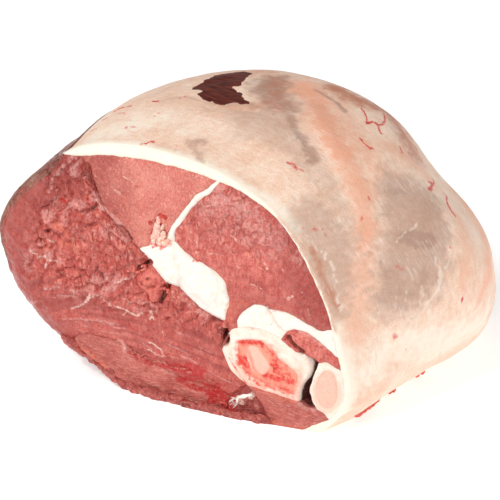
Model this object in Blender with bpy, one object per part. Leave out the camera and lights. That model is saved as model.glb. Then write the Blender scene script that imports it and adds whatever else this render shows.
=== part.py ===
"""A raw, bone-in piece of leg of lamb, lying on its cut underside.

The cut end faces -Y. Every muscle, bone and fat layer that shows there is a column
that runs through the leg to the trimmed end at +Y, so each is lofted through the
same set of cross-sections, which swell over the rump and shrink towards the far end.
Lengths are in millimetres here and turned to metres when the meshes are made.
"""

import math

import bpy
import numpy as np
from mathutils.geometry import delaunay_2d_cdt

for old in list(bpy.data.objects):
    bpy.data.objects.remove(old, do_unlink=True)

# ---------------------------------------------------------------- driving dimensions
MM = 0.001
DEPTH = 120.0  # cut end to trimmed end
CENTRE = (82.0, 55.0)  # middle of the cut end, above the board
GAP = 0.3  # clearance each piece keeps from a seam
FOOT_ROUND = 5.0  # rounding where the sides turn under onto the board
LOFT = (0.0, 0.03, 0.1, 0.28, 0.5, 0.72, 0.89, 1.0)  # shares of the depth

# Outline of the cut end, clockwise from the left.
CUT_OUTLINE = (
    (-7, 69.5), (0.5, 85), (13, 98.8), (27.5, 111), (42, 119), (60, 122.8), (80, 122.5),
    (100, 119.0), (117, 112.0), (130, 103.5), (140, 92), (149, 76), (156, 60),
    (161, 45), (165, 29), (164, 16), (157, 5), (148, -3), (120, -9), (90, -9),
    (62, -3), (43, 5), (26, 15), (10, 27), (-1, 41.5), (-5.5, 56),
)

# Share of the depth, shift of the middle to the right, and growth of the radius
# at 0, 30 ... 330 degrees, counted from the right and over the top.
STATIONS = (
    (0.00, 0.0, (0, 0, 0, 0, 0, 0, 0, 0, 0, 0, 0, 0)),
    (0.10, 4.0, (8, 6, 4, 3, 4, 3, 3, 4, 3, 0, 0, 3)),
    (0.30, 11.0, (20, 15, 12, 8, 10, 6, 4, 6, 4, 0, 0, 4)),
    (0.52, 19.0, (26, 16, 12, 10, 10, 4, 2, 4, 3, 0, 0, 5)),
    (0.74, 27.0, (15, 2, 5, 6, 3, -3, -4, -2, -2, 0, 0, 6)),
    (0.90, 30.0, (3, -9, -8, -9, -11, -14, -14, -10, -5, -1, 0, 0)),
    (1.00, 32.0, (-12, -22, -26, -24, -24, -27, -26, -20, -12, -4, -4, -12)),
)

# Thickness of the fat under the skin, and how far back the rim of the cut end rolls,
# both by angle in degrees. Along the foot it hangs forwards instead.
FAT_THICKNESS = (
    (-45, 2.6), (-32, 2.6), (-22, 2.6), (-12, 3.6), (-5, 2.6), (2, 1.6), (25, 1.5),
    (50, 1.7), (62, 3.0), (75, 4.4), (90, 5.6), (110, 6.2), (122, 5.2), (128, 3.8),
)
RIM_ROLL = (
    (0, 1.2), (110, 1.2), (135, 4.0), (165, 8.0), (200, 8.0), (225, 4.5), (245, 0.0),
    (260, -3.5), (285, -6.0), (305, -4.5), (320, -1.0), (335, 1.0),
)
RIM_ROLL_WIDTH = 0.16  # share of the radius


# ---------------------------------------------------------------- curves
def catmull_rom(points, per_span=12, closed=False):
    """A fine polyline through hand-placed points."""
    p = np.asarray(points, float)
    if closed:
        p = np.vstack([p[-1], p, p[0], p[1]])
    else:
        p = np.vstack([2 * p[0] - p[1], p, 2 * p[-1] - p[-2]])
    t = np.linspace(0, 1, per_span, endpoint=False)[:, None]
    out = []
    for a, b, c, d in zip(p[:-3], p[1:-2], p[2:-1], p[3:]):
        out.append(0.5 * (2 * b + (c - a) * t + (2 * a - 5 * b + 4 * c - d) * t**2
                          + (3 * b - a - 3 * c + d) * t**3))
    out = np.vstack(out)
    return out if closed else np.vstack([out, p[-2]])


def evenly(line, step):
    """The polyline resampled at even steps near the one asked for."""
    length = np.concatenate([[0], np.cumsum(np.hypot(*np.diff(line, axis=0).T))])
    count = max(1, round(length[-1] / step))
    at = np.linspace(0, length[-1], count + 1)
    return np.stack([np.interp(at, length, line[:, k]) for k in (0, 1)], 1)


def by_angle(table, degrees):
    """A periodic linear table in degrees."""
    keys, values = zip(*table)
    return np.interp(np.asarray(degrees) % 360, np.array(keys) % 360, values, period=360)


def around(values, theta):
    """A smooth periodic curve through values at even angles."""
    v = np.array(values, float)
    s = (theta % math.tau) / math.tau * len(v)
    i = np.floor(s).astype(int)
    t = s - i
    a, b, c, d = (v[(i + k) % len(v)] for k in (-1, 0, 1, 2))
    return 0.5 * (2 * b + (c - a) * t + (2 * a - 5 * b + 4 * c - d) * t**2
                  + (3 * b - a - 3 * c + d) * t**3)


_outline = catmull_rom(CUT_OUTLINE, 24, closed=True) - np.array(CENTRE)
_outline_angle = np.arctan2(_outline[:, 1], _outline[:, 0]) % math.tau
_order = np.argsort(_outline_angle)


def soft_min(a, b, k):
    """The smaller of two lengths, rounded over within k of their crossing."""
    h = np.clip(0.5 + 0.5 * (b - a) / k, 0, 1)
    return b * (1 - h) + a * h - k * h * (1 - h)


def board_limit(theta):
    """Distance from the middle of the cut end to the board."""
    down = np.maximum(-np.sin(theta), 1e-3)
    return np.where(np.sin(theta) < -1e-3, CENTRE[1] / down, 1e4)


def cut_radius(theta):
    """Radius of the cut end, flat where it rests on the board."""
    free = np.interp(theta % math.tau, _outline_angle[_order],
                     np.hypot(*_outline[_order].T), period=math.tau)
    return soft_min(free, board_limit(theta), FOOT_ROUND)


def section(share, theta):
    """Shift and radius of the cross-section at a share of the depth."""
    at = np.array([s[0] for s in STATIONS])
    shift = np.array([s[1] for s in STATIONS])
    growth = np.stack([around(s[2], theta) for s in STATIONS])
    k = min(int(np.searchsorted(at, share, side="right")) - 1, len(at) - 2)
    h = at[k + 1] - at[k]
    u = (share - at[k]) / h
    w = (2 * u**3 - 3 * u**2 + 1, u**3 - 2 * u**2 + u, 3 * u**2 - 2 * u**3, u**3 - u**2)

    def blend(rows):
        slope = np.gradient(rows, at, axis=0)
        return w[0] * rows[k] + w[1] * h * slope[k] + w[2] * rows[k + 1] + w[3] * h * slope[k + 1]

    free = np.interp(theta % math.tau, _outline_angle[_order],
                     np.hypot(*_outline[_order].T), period=math.tau)
    return blend(shift), soft_min(free + blend(growth), board_limit(theta), FOOT_ROUND)


def in_leg(points, share):
    """Points of the cut end carried to a share of the leg's depth."""
    p = np.asarray(points, float) - np.array(CENTRE)
    theta = np.arctan2(p[:, 1], p[:, 0])
    inward = np.hypot(*p.T) / cut_radius(theta)
    shift, radius = section(share, theta)
    r = inward * radius
    u = np.clip((inward - 1 + RIM_ROLL_WIDTH) / RIM_ROLL_WIDTH, 0, 1)
    roll = by_angle(RIM_ROLL, np.degrees(theta)) * (1 - np.sqrt(1 - (0.98 * u) ** 2))
    front = roll * (1 - share)
    return np.stack([CENTRE[0] + shift + r * np.cos(theta),
                     front + DEPTH * share,
                     CENTRE[1] + r * np.sin(theta)], 1)


# ---------------------------------------------------------------- seams of the cut end
def on_skin(degrees):
    """A point of the cut end's outline."""
    theta = math.radians(degrees)
    r = float(cut_radius(np.array(theta)))
    return (CENTRE[0] + r * math.cos(theta), CENTRE[1] + r * math.sin(theta))


def under_fat(degrees):
    """A point of the line where the fat under the skin meets the meat."""
    theta = math.radians(degrees)
    r = float(cut_radius(np.array(theta))) - float(by_angle(FAT_THICKNESS, degrees))
    return (CENTRE[0] + r * math.cos(theta), CENTRE[1] + r * math.sin(theta))


def arc(place, start, end, step):
    """An arc of the outline, or of the line under the fat."""
    count = max(2, math.ceil(abs(end - start) / 1.5))
    return evenly(np.array([place(a) for a in np.linspace(start, end, count + 1)]), step)


FAT_START, GROOVE_TOP, FASCIA_LEFT, FASCIA_RIGHT = 134.0, 126.5, 70.2, 68.9
JOINT_FAT_TOP, JOINT_FAT_LOW, SMALL_BONE_TOP, SMALL_BONE_LOW = -1.5, -11.5, -15.0, -32.5
FAT_FOOT, LOWER_FOOT, FLAP_FOOT, BAND_END = -41.5, -50.5, -64.0, -139.5

K0, K1, K2 = (66.0, 73.9), (70.5, 76.2), (79.8, 84.0)
N1, N2 = (79.0, 59.6), (72.5, 66.2)
P0, P1, P2 = (107.8, 61.5), (106.6, 46.5), (109.5, 42.5)
Q0, Q1, Q2, Q3 = (133.2, 43.0), (144.3, 38.3), (150.9, 35.6), (150.2, 11.9)
Q4, Q5, T1 = (141.1, 13.6), (117.0, 16.0), (109.0, 8.5)
R0, R1 = (112.6, 44.1), (120.8, 57.9)
WIDE, MID, FINE = 6.0, 4.6, 3.4  # spacing of the points along a seam


def seam(step, *points):
    return evenly(catmull_rom(points), step)


SEAMS = {
    "skin": arc(on_skin, FAT_START, FAT_FOOT, WIDE),
    "fat_edge": seam(MID, on_skin(FAT_START), under_fat(GROOVE_TOP)),
    "fat_top": arc(under_fat, GROOVE_TOP, FASCIA_LEFT, WIDE),
    "fat_fascia": arc(under_fat, FASCIA_LEFT, FASCIA_RIGHT, MID),
    "fat_right": arc(under_fat, FASCIA_RIGHT, JOINT_FAT_TOP, WIDE),
    "fat_joint": arc(under_fat, JOINT_FAT_TOP, JOINT_FAT_LOW, MID),
    "fat_small_muscle": arc(under_fat, JOINT_FAT_LOW, SMALL_BONE_TOP, MID),
    "fat_small_bone": arc(under_fat, SMALL_BONE_TOP, SMALL_BONE_LOW, MID),
    "fat_foot": seam(MID, under_fat(SMALL_BONE_LOW), (151.0, 4.4), on_skin(FAT_FOOT)),
    "foot_lower": arc(on_skin, FAT_FOOT, LOWER_FOOT, WIDE),
    "foot_flap": arc(on_skin, LOWER_FOOT, FLAP_FOOT, WIDE),
    "foot_band": arc(on_skin, FLAP_FOOT, BAND_END, WIDE),
    "bare_left": arc(on_skin, BAND_END, FAT_START - 360, WIDE),
    "groove": seam(MID, under_fat(GROOVE_TOP), (40.6, 110.5), (43.0, 103.9), (45.1, 97.0),
                   (47.9, 92.2), (52.5, 86.8), (57.7, 80.9), (62.2, 76.6), K0),
    "fascia_left": seam(MID, under_fat(FASCIA_LEFT), (98.6, 109.4), (93.2, 104.6),
                        (88.6, 98.4), (85.2, 93.0), (81.6, 87.6), K2),
    "fascia_right": seam(MID, under_fat(FASCIA_RIGHT), (100.2, 107.4), (95.2, 103.0),
                         (90.6, 97.0), (87.2, 91.6), (83.8, 86.4), (83.0, 81.0)),
    "seam_fat_top": seam(MID, (83.0, 81.0), (87.9, 76.8), (91.6, 74.4), (96.8, 72.8),
                         (103.4, 69.3), (107.0, 65.6), P0),
    "gland": seam(FINE, K1, (71.7, 80.2), (73.7, 86.4), (76.6, 93.0), (79.0, 89.4), K2),
    "gland_foot": seam(FINE, K1, (74.6, 78.4), (77.6, 81.0), K2),
    "tip": seam(FINE, K0, K1),
    "seam_fat_left": seam(MID, K0, (69.4, 70.6), N2),
    "knob_fat": seam(FINE, N2, (76.0, 62.6), N1),
    "knob": seam(FINE, N2, (68.0, 63.8), (64.2, 60.0), (64.6, 55.4), (68.6, 52.6),
                 (71.6, 48.9), (75.6, 50.0), (78.2, 54.6), N1),
    "seam_fat_low": seam(MID, N1, (84.7, 58.6), (88.5, 55.6), (94.7, 51.2), (100.9, 48.3), P1),
    "fat_meet": seam(MID, P0, (108.6, 56.0), (107.6, 51.0), P1),
    "joint_left": seam(FINE, P1, P2),
    "joint_top": seam(MID, R1, (124.0, 58.4), (128.6, 57.2), (134.0, 57.6), (139.9, 56.0),
                      (145.4, 53.6), (151.0, 51.6), under_fat(JOINT_FAT_TOP)),
    "tongue": seam(FINE, R0, (112.2, 47.2), (113.6, 50.8), (116.6, 54.6), R1),
    "tongue_foot": seam(FINE, P2, R0),
    "joint_low": seam(MID, Q0, (135.0, 46.6), (138.4, 49.0), (142.8, 49.6), (147.6, 48.0),
                      (152.6, 44.8), under_fat(JOINT_FAT_LOW)),
    "bone_top": seam(FINE, R0, (118.0, 45.6), (123.4, 45.9), (128.6, 45.0), Q0),
    "bone_muscle": seam(FINE, Q0, (136.6, 40.6), (140.4, 38.2), Q1),
    "bone_gap": seam(FINE, Q1, (146.6, 35.6), (146.9, 31.2), (145.9, 27.6), (143.9, 24.6),
                     (142.2, 20.6), Q4),
    "bone_foot": seam(FINE, Q4, (137.1, 13.8), (130.4, 14.8), (122.8, 15.2), Q5),
    "bone_left": seam(FINE, Q5, (111.8, 19.6), (107.6, 25.0), (105.4, 32.0), (106.8, 37.8), P2),
    "small_muscle_gap": seam(FINE, Q1, (147.6, 37.4), Q2),
    "small_bone_top": seam(FINE, Q2, (154.4, 36.2), under_fat(SMALL_BONE_TOP)),
    "small_bone_gap": seam(FINE, Q2, (149.6, 31.8), (148.4, 27.6), (147.3, 22.4),
                           (147.2, 17.6), Q3),
    "small_bone_foot": seam(FINE, Q3, (153.4, 10.4), under_fat(SMALL_BONE_LOW)),
    "gap_foot": seam(FINE, Q4, (145.8, 11.4), Q3),
    "lower_flap": seam(MID, Q5, (120.6, 12.6), (124.6, 7.4), on_skin(LOWER_FOOT)),
    "flap_left": seam(MID, Q5, (112.6, 12.6), T1),
    "flap_band": seam(MID, T1, (108.4, 4.6), on_skin(FLAP_FOOT)),
    "band_top": seam(MID, on_skin(BAND_END), (32.0, 21.6), (44.0, 24.6), (55.3, 23.4),
                     (62.7, 20.6), (69.6, 18.0), (76.0, 15.3), (83.4, 12.4), (91.0, 11.4),
                     (100.0, 11.4), T1),
}
OUTSIDE = {"skin", "foot_lower", "foot_flap", "foot_band", "bare_left"}

# Holes of the two cut bones, filled by their spongy middles.
HOLES = {
    "bone_middle": ((112.6, 32.0), (113.4, 36.8), (117.0, 39.6), (122.0, 40.0), (126.2, 37.8),
                    (131.0, 33.6), (136.6, 30.6), (140.6, 27.4), (140.4, 22.8), (138.0, 18.8),
                    (132.4, 18.2), (125.0, 19.4), (118.4, 21.6), (114.0, 26.0)),
    "small_bone_middle": ((150.0, 22.4), (150.8, 27.4), (153.0, 31.6), (156.6, 31.8),
                          (159.2, 27.6), (159.8, 22.0), (158.6, 16.6), (155.4, 13.4),
                          (152.0, 14.8), (150.2, 18.4)),
}

# Each piece: its seams in order round it (a minus reverses one), the bulge of its cut
# faces, where its column starts, its hole and its material.
PIECES = {
    "fat_cover": (("-skin", "fat_edge", "fat_top", "fat_fascia", "fat_right", "fat_joint",
                   "fat_small_muscle", "fat_small_bone", "fat_foot"), 0.3, 0.0, None, "fat"),
    "left_muscle": (("fat_edge", "groove", "seam_fat_left", "knob", "seam_fat_low",
                     "joint_left", "-bone_left", "flap_left", "-band_top", "bare_left"),
                    1.6, 0.0, None, "meat"),
    "lower_band_muscle": (("band_top", "flap_band", "foot_band"), 1.2, 0.0, None, "meat"),
    "top_muscle": (("fat_top", "fascia_left", "-gland", "-tip", "-groove"), 1.4, 0.0,
                   None, "meat"),
    "right_muscle": (("fat_right", "-joint_top", "-tongue", "-tongue_foot", "-joint_left",
                      "-fat_meet", "-seam_fat_top", "-fascia_right"), 1.6, 0.0, None, "meat"),
    "seam_fat": (("fat_fascia", "fascia_right", "seam_fat_top", "fat_meet", "-seam_fat_low",
                  "-knob_fat", "-seam_fat_left", "tip", "gland_foot", "-fascia_left"),
                 0.8, 0.0, None, "fat"),
    "gland": (("gland", "-gland_foot"), 0.8, 0.0, None, "gland"),
    "centre_muscle": (("knob", "-knob_fat"), 2.0, 0.0, None, "meat"),
    "joint_fat": (("joint_top", "fat_joint", "-joint_low", "-bone_top", "tongue"), 0.8, 0.0,
                  None, "fat"),
    "bone": (("tongue_foot", "bone_top", "bone_muscle", "bone_gap", "bone_foot", "bone_left"),
             0.5, 0.0, "bone_middle", "bone"),
    "small_muscle": (("joint_low", "fat_small_muscle", "-small_bone_top",
                      "-small_muscle_gap", "-bone_muscle"), 0.8, 0.0, None, "meat"),
    "small_bone": (("small_bone_top", "fat_small_bone", "-small_bone_foot",
                    "-small_bone_gap"), 0.4, 0.0, "small_bone_middle", "bone"),
    "lower_muscle": (("small_bone_foot", "fat_foot", "foot_lower", "-lower_flap",
                      "-bone_foot", "gap_foot"), 0.9, 0.0, None, "meat"),
    "flap_muscle": (("lower_flap", "foot_flap", "-flap_band", "-flap_left"), 0.8, 0.0,
                    None, "meat"),
    "joint_tissue": (("small_muscle_gap", "small_bone_gap", "-gap_foot", "-bone_gap"),
                     0.0, 0.1, None, "tissue"),
}
COLOURS = {
    "meat": (0.52, 0.10, 0.08, 1.0),
    "fat": (0.90, 0.80, 0.66, 1.0),
    "bone": (0.92, 0.83, 0.66, 1.0),
    "marrow": (0.75, 0.17, 0.12, 1.0),
    "gland": (0.92, 0.50, 0.40, 1.0),
    "tissue": (0.16, 0.02, 0.01, 1.0),
}


# ---------------------------------------------------------------- meshes
def signed_area(p):
    q = np.roll(p, -1, axis=0)
    return 0.5 * float(np.sum(p[:, 0] * q[:, 1] - q[:, 0] * p[:, 1]))


def piece_outline(names):
    """The loop of a piece, counter-clockwise, drawn in from its seams by the gap."""
    points, inset = [], []
    for name in names:
        line = SEAMS[name.lstrip("-")]
        line = line[::-1] if name.startswith("-") else line
        points.append(line[:-1])
        inset += [0.0 if name.lstrip("-") in OUTSIDE else GAP] * (len(line) - 1)
    p, d = np.vstack(points), np.array(inset)
    if signed_area(p) < 0:
        p = p[::-1]
        d = np.roll(d[::-1], -1)
    return drawn_in(p, d)


def drawn_in(p, d):
    """A counter-clockwise loop with each edge moved inwards by its own distance."""
    edge = np.roll(p, -1, axis=0) - p
    normal = np.stack([-edge[:, 1], edge[:, 0]], 1) / np.hypot(*edge.T)[:, None]
    before, d_before = np.roll(normal, 1, axis=0), np.roll(d, 1)
    det = before[:, 0] * normal[:, 1] - before[:, 1] * normal[:, 0]
    mean = before + normal
    mean /= np.maximum(np.hypot(*mean.T), 1e-6)[:, None]
    move = mean * np.maximum(d, d_before)[:, None]
    sharp = np.abs(det) > 0.15
    solved = np.stack([normal[:, 1] * d_before - before[:, 1] * d,
                       before[:, 0] * d - normal[:, 0] * d_before], 1)
    move[sharp] = solved[sharp] / det[sharp][:, None]
    length = np.hypot(*move.T)
    limit = 3 * np.maximum(np.abs(d), np.abs(d_before))
    return p + move * np.minimum(1, limit / np.maximum(length, 1e-9))[:, None]


def inside(loop, points):
    """Which points lie in a loop."""
    a, b = loop[None], np.roll(loop, -1, axis=0)[None]
    q = points[:, None]
    crosses = (a[..., 1] > q[..., 1]) != (b[..., 1] > q[..., 1])
    rise = np.where(b[..., 1] == a[..., 1], 1e-9, b[..., 1] - a[..., 1])
    x = a[..., 0] + (q[..., 1] - a[..., 1]) * (b[..., 0] - a[..., 0]) / rise
    return (crosses & (q[..., 0] < x)).sum(1) % 2 == 1


def edge_distance(loop, points):
    """Distance from each point to a loop's nearest edge."""
    a = loop[None]
    ab = np.roll(loop, -1, axis=0)[None] - a
    ap = points[:, None] - a
    t = np.clip((ap * ab).sum(-1) / np.maximum((ab**2).sum(-1), 1e-12), 0, 1)
    return np.sqrt(((ap - ab * t[..., None]) ** 2).sum(-1)).min(1)


def face_net(loops, step):
    """Inner points and triangles of a cut face: a loop, perhaps with a hole in it."""
    ring = np.vstack(loops)
    low, high = loops[0].min(0), loops[0].max(0)
    xs = np.arange(low[0] + step / 2, high[0], step)
    zs = np.arange(low[1] + step / 2, high[1], step * 0.87)
    grid = np.array([(x + (j % 2) * step / 2, z) for j, z in enumerate(zs) for x in xs])
    keep = inside(loops[0], grid)
    for k, loop in enumerate(loops):
        keep &= edge_distance(loop, grid) > step * 0.55
        if k:
            keep &= ~inside(loop, grid)
    grid = grid[keep]
    edges, first = [], 0
    for loop in loops:
        n = len(loop)
        edges += [(first + i, first + (i + 1) % n) for i in range(n)]
        first += n
    points = np.vstack([ring, grid])
    found = delaunay_2d_cdt([tuple(p) for p in points], edges, [], 0, 1e-5)
    at, triangles, source = found[0], found[2], found[3]
    number = [s[0] if s else None for s in source]
    middle = np.array([np.mean([at[v] for v in t], axis=0) for t in triangles])
    good = inside(loops[0], middle)
    for hole in loops[1:]:
        good &= ~inside(hole, middle)
    # A triangle on a seam is judged by the way it runs along the seam, as the thinnest
    # ones have their middles on it.
    outer = len(loops[0])
    along = {(a, b) if a < outer else (b, a) for a, b in edges}
    against = {(b, a) for a, b in along}
    kept = []
    for triangle, fine in zip(triangles, good):
        a, b, c = (number[v] for v in triangle)
        sides = {(a, b), (b, c), (c, a)}
        if not sides & against and (fine or sides & along):
            kept.append([a, b, c])
    return grid, kept


def bulged(loops, points, amount, reach=7.0):
    """How far each point of a cut face swells out beyond the seams round it."""
    if not len(points):
        return np.zeros(0)
    near = np.min([edge_distance(loop, points) for loop in loops], axis=0)
    return amount * (1 - (1 - np.clip(near / reach, 0, 1)) ** 2)


def column(loops, bulge, start, step):
    """Vertices and faces of a piece that runs through the leg."""
    shares = [start] + [s for s in LOFT if s > start + 0.02]
    ring = np.vstack(loops)
    grid, triangles = face_net(loops, step)
    swell = bulged(loops, grid, bulge)[:, None] * np.array([[0.0, 1.0, 0.0]])
    rows = [in_leg(ring, s) for s in shares]
    n, depth = len(ring), len(shares)
    front = in_leg(grid, shares[0]) - swell if len(grid) else np.zeros((0, 3))
    back = in_leg(grid, shares[-1]) + swell if len(grid) else np.zeros((0, 3))
    verts = np.vstack(rows + [front, back])
    faces = []
    first = 0
    for k, loop in enumerate(loops):
        m = len(loop)
        ahead = (np.roll(loop, -1, axis=0) - loop) @ np.array([1.0, 0.62]) > 0
        for row in range(depth - 1):
            for i in range(m):
                a, b = row * n + first + i, row * n + first + (i + 1) % m
                # Both sides of a seam split their walls along the same diagonal.
                if ahead[i]:
                    pair = ((a, a + n, b + n), (a, b + n, b))
                else:
                    pair = ((a, a + n, b), (a + n, b + n, b))
                faces += pair if k == 0 else [t[::-1] for t in pair]
        first += m
    for a, b, c in triangles:
        front_number = [v if v < n else depth * n + v - n for v in (a, b, c)]
        back_number = [(depth - 1) * n + v if v < n else depth * n + len(grid) + v - n
                       for v in (a, b, c)]
        faces.append(tuple(front_number))
        faces.append(tuple(back_number[::-1]))
    return verts, faces


def collection(name):
    made = bpy.data.collections.new(name)
    bpy.context.scene.collection.children.link(made)
    return made


def material(name):
    made = bpy.data.materials.new(name)
    made.use_nodes = True
    shader = made.node_tree.nodes["Principled BSDF"]
    shader.inputs["Base Color"].default_value = COLOURS[name]
    shader.inputs["Roughness"].default_value = 0.45
    return made


solids = {}
for name, (names, bulge, start, hole, finish) in PIECES.items():
    loops = [piece_outline(names)]
    size = math.sqrt(abs(signed_area(loops[0])))
    step = 9.0 if size > 40 else 6.0 if size > 15 else 4.0
    if hole:
        line = catmull_rom(HOLES[hole], 8, closed=True)
        line = evenly(np.vstack([line, line[:1]]), FINE)[:-1]
        line = line if signed_area(line) > 0 else line[::-1]
        loops.append(drawn_in(line, np.full(len(line), -GAP)))
        solids[hole] = (*column([drawn_in(line, np.full(len(line), GAP))], 0.3, 0.0, 5.0),
                        "marrow")
    solids[name] = (*column(loops, bulge, start, step), finish)

# The finished leg stands with the middle of its footprint over the origin.
everything = np.vstack([s[0] for s in solids.values()])
low, high = everything.min(0), everything.max(0)
base = np.array([(low[0] + high[0]) / 2, (low[1] + high[1]) / 2, low[2]])

leg = collection("leg_of_lamb")
finishes = {name: material(name) for name in COLOURS}
for name, (verts, faces, finish) in solids.items():
    mesh = bpy.data.meshes.new(name)
    mesh.from_pydata([tuple(v) for v in (verts - base) * MM], [], faces)
    mesh.materials.append(finishes[finish])
    mesh.update()
    leg.objects.link(bpy.data.objects.new(name, mesh))
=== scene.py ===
"""The look of a raw, bone-in piece of leg of lamb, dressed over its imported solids.

Lengths in this script are millimetres until a mesh is made. The cut end faces -Y.
"""

import logging
import math
from dataclasses import dataclass
from enum import Enum
from typing import Any, Callable, Iterable, Sequence

import bpy
import numpy as np
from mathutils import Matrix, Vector
from mathutils.bvhtree import BVHTree
from mathutils.geometry import delaunay_2d_cdt

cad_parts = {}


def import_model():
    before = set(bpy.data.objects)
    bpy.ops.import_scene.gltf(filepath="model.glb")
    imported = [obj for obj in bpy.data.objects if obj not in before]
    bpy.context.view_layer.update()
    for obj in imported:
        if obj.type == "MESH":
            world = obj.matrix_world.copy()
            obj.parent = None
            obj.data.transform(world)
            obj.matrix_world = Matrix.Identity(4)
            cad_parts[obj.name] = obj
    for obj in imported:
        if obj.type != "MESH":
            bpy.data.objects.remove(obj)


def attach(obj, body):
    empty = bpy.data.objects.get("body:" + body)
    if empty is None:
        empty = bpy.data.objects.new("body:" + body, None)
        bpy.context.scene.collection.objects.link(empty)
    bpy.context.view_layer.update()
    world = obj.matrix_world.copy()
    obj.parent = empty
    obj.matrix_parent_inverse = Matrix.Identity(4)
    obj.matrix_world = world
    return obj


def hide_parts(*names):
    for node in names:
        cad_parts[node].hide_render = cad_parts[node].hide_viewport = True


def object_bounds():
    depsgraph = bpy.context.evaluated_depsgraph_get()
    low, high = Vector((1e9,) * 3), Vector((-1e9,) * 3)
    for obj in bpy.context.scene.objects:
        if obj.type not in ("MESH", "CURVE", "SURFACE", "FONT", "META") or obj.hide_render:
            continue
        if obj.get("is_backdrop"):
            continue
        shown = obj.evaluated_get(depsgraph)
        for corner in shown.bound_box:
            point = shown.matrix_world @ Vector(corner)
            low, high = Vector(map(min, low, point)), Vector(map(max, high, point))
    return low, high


Array = np.ndarray
Points = Sequence[tuple[float, float]]

LOG = logging.getLogger("leg_of_lamb")
MM = 0.001
DEPTH = 120.0  # cut end to trimmed end
CENTRE = (82.0, 55.0)  # middle of the cut end, above the board
STANDS_AT = np.array([97.957, 58.542, 0.0])  # the frame's origin, in the cut end's own millimetres
SEAM_OVERLAP = 0.12
FOOT_ROUND = 5.0  # rounding where the sides turn under onto the board
RIM_ROLL_WIDTH = 0.16  # share of the radius
SKIN_MM_PER_DEGREE = 1.55
FRONT_CELL = 0.62
BACK_CELL = 1.5
LOOP_STEP = 0.9


# ------------------------------------------------------------------ numbers and curves
def lattice_noise(points: Array, size: float | Array, seed: int) -> Array:
    """Smooth value noise from -1 to 1.

    Args:
        points: positions, one row each, in two or three dimensions.
        size: length of one noise cell, or one length per axis.
        seed: picks the pattern.

    Returns:
        One number per point.
    """
    q = np.asarray(points, float) / size
    if q.shape[1] == 2:
        q = np.hstack([q, np.zeros((len(q), 1))])
    cell = np.floor(q).astype(np.int64)
    f = q - cell
    f = f * f * (3 - 2 * f)
    total = np.zeros(len(q))
    for corner in range(8):
        bits = np.array([corner & 1, corner >> 1 & 1, corner >> 2 & 1])
        at = cell + bits
        h = (at[:, 0] * 73856093) ^ (at[:, 1] * 19349663) ^ (at[:, 2] * 83492791)
        h = (h ^ (seed * 2654435761)) & 0xFFFFFFFF
        h = ((h ^ (h >> 15)) * 2246822519) & 0xFFFFFFFF
        h = ((h ^ (h >> 13)) * 3266489917) & 0xFFFFFFFF
        value = ((h ^ (h >> 16)) & 0xFFFFFF) / 0xFFFFFF * 2 - 1
        weight = np.prod(np.where(bits == 1, f, 1 - f), axis=1)
        total += value * weight
    return total


def fractal(points: Array, size: float, seed: int, octaves: int = 3, gain: float = 0.5) -> Array:
    """Noise summed over octaves, about -1 to 1."""
    total = np.zeros(len(points))
    amount = 1.0
    for k in range(octaves):
        total += amount * lattice_noise(points, size / 2**k, seed + 17 * k)
        amount *= gain
    return total


def bundles(points: Array, size: float, seed: int) -> Array:
    """Rounded bundles of fibre: nought in the clefts between them, one at their middles."""
    warp = np.stack([lattice_noise(points, 1.7 * size, seed + 3),
                     lattice_noise(points, 1.7 * size, seed + 4)], 1)
    warp = warp + 0.45 * np.stack([lattice_noise(points, 0.6 * size, seed + 6),
                                   lattice_noise(points, 0.6 * size, seed + 7)], 1)
    turned = points @ np.array([[0.82, 0.57], [-0.57, 0.82]]) * np.array([1.0, 0.72])
    p = turned / size + 0.55 * warp
    base = np.floor(p)
    first = np.full(len(p), 9.0)
    second = first.copy()
    for step in [(x, y) for x in (-1, 0, 1) for y in (-1, 0, 1)]:
        cell = base + step
        key = cell @ np.array([127.1, 311.7]) + 17.3 * seed
        spot = cell + 0.5 + 0.42 * np.stack([np.sin(key * 43.7), np.sin(key * 91.3 + 2.0)], 1)
        d = np.hypot(*(p - spot).T)
        second = np.minimum(second, np.maximum(first, d))
        first = np.minimum(first, d)
    return np.clip(2.2 * (second - first), 0, 1)


def smooth(low: float, high: float, value: Array) -> Array:
    """A smooth step from 0 at low to 1 at high."""
    t = np.clip((value - low) / (high - low), 0, 1)
    return t * t * (3 - 2 * t)


def catmull_rom(points: Points, per_span: int = 16, closed: bool = False) -> Array:
    """A fine polyline that curves smoothly through the points."""
    p = np.asarray(points, float)
    if closed:
        p = np.vstack([p[-1], p, p[0], p[1]])
    else:
        p = np.vstack([2 * p[0] - p[1], p, 2 * p[-1] - p[-2]])
    t = np.linspace(0, 1, per_span, endpoint=False)[:, None]
    out = []
    for a, b, c, d in zip(p[:-3], p[1:-2], p[2:-1], p[3:]):
        out.append(0.5 * (2 * b + (c - a) * t + (2 * a - 5 * b + 4 * c - d) * t**2
                          + (3 * b - a - 3 * c + d) * t**3))
    line = np.vstack(out)
    return line if closed else np.vstack([line, p[-2]])


def evenly(line: Array, step: float) -> Array:
    """The polyline resampled at even steps near the one asked for."""
    length = np.concatenate([[0], np.cumsum(np.linalg.norm(np.diff(line, axis=0), axis=1))])
    count = max(1, round(length[-1] / step))
    at = np.linspace(0, length[-1], count + 1)
    return np.stack([np.interp(at, length, line[:, k]) for k in range(line.shape[1])], 1)


def by_angle(table: Points, degrees: Array) -> Array:
    """A periodic linear table in degrees."""
    keys, values = zip(*table)
    return np.interp(np.asarray(degrees) % 360, np.array(keys) % 360, values, period=360)


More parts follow.
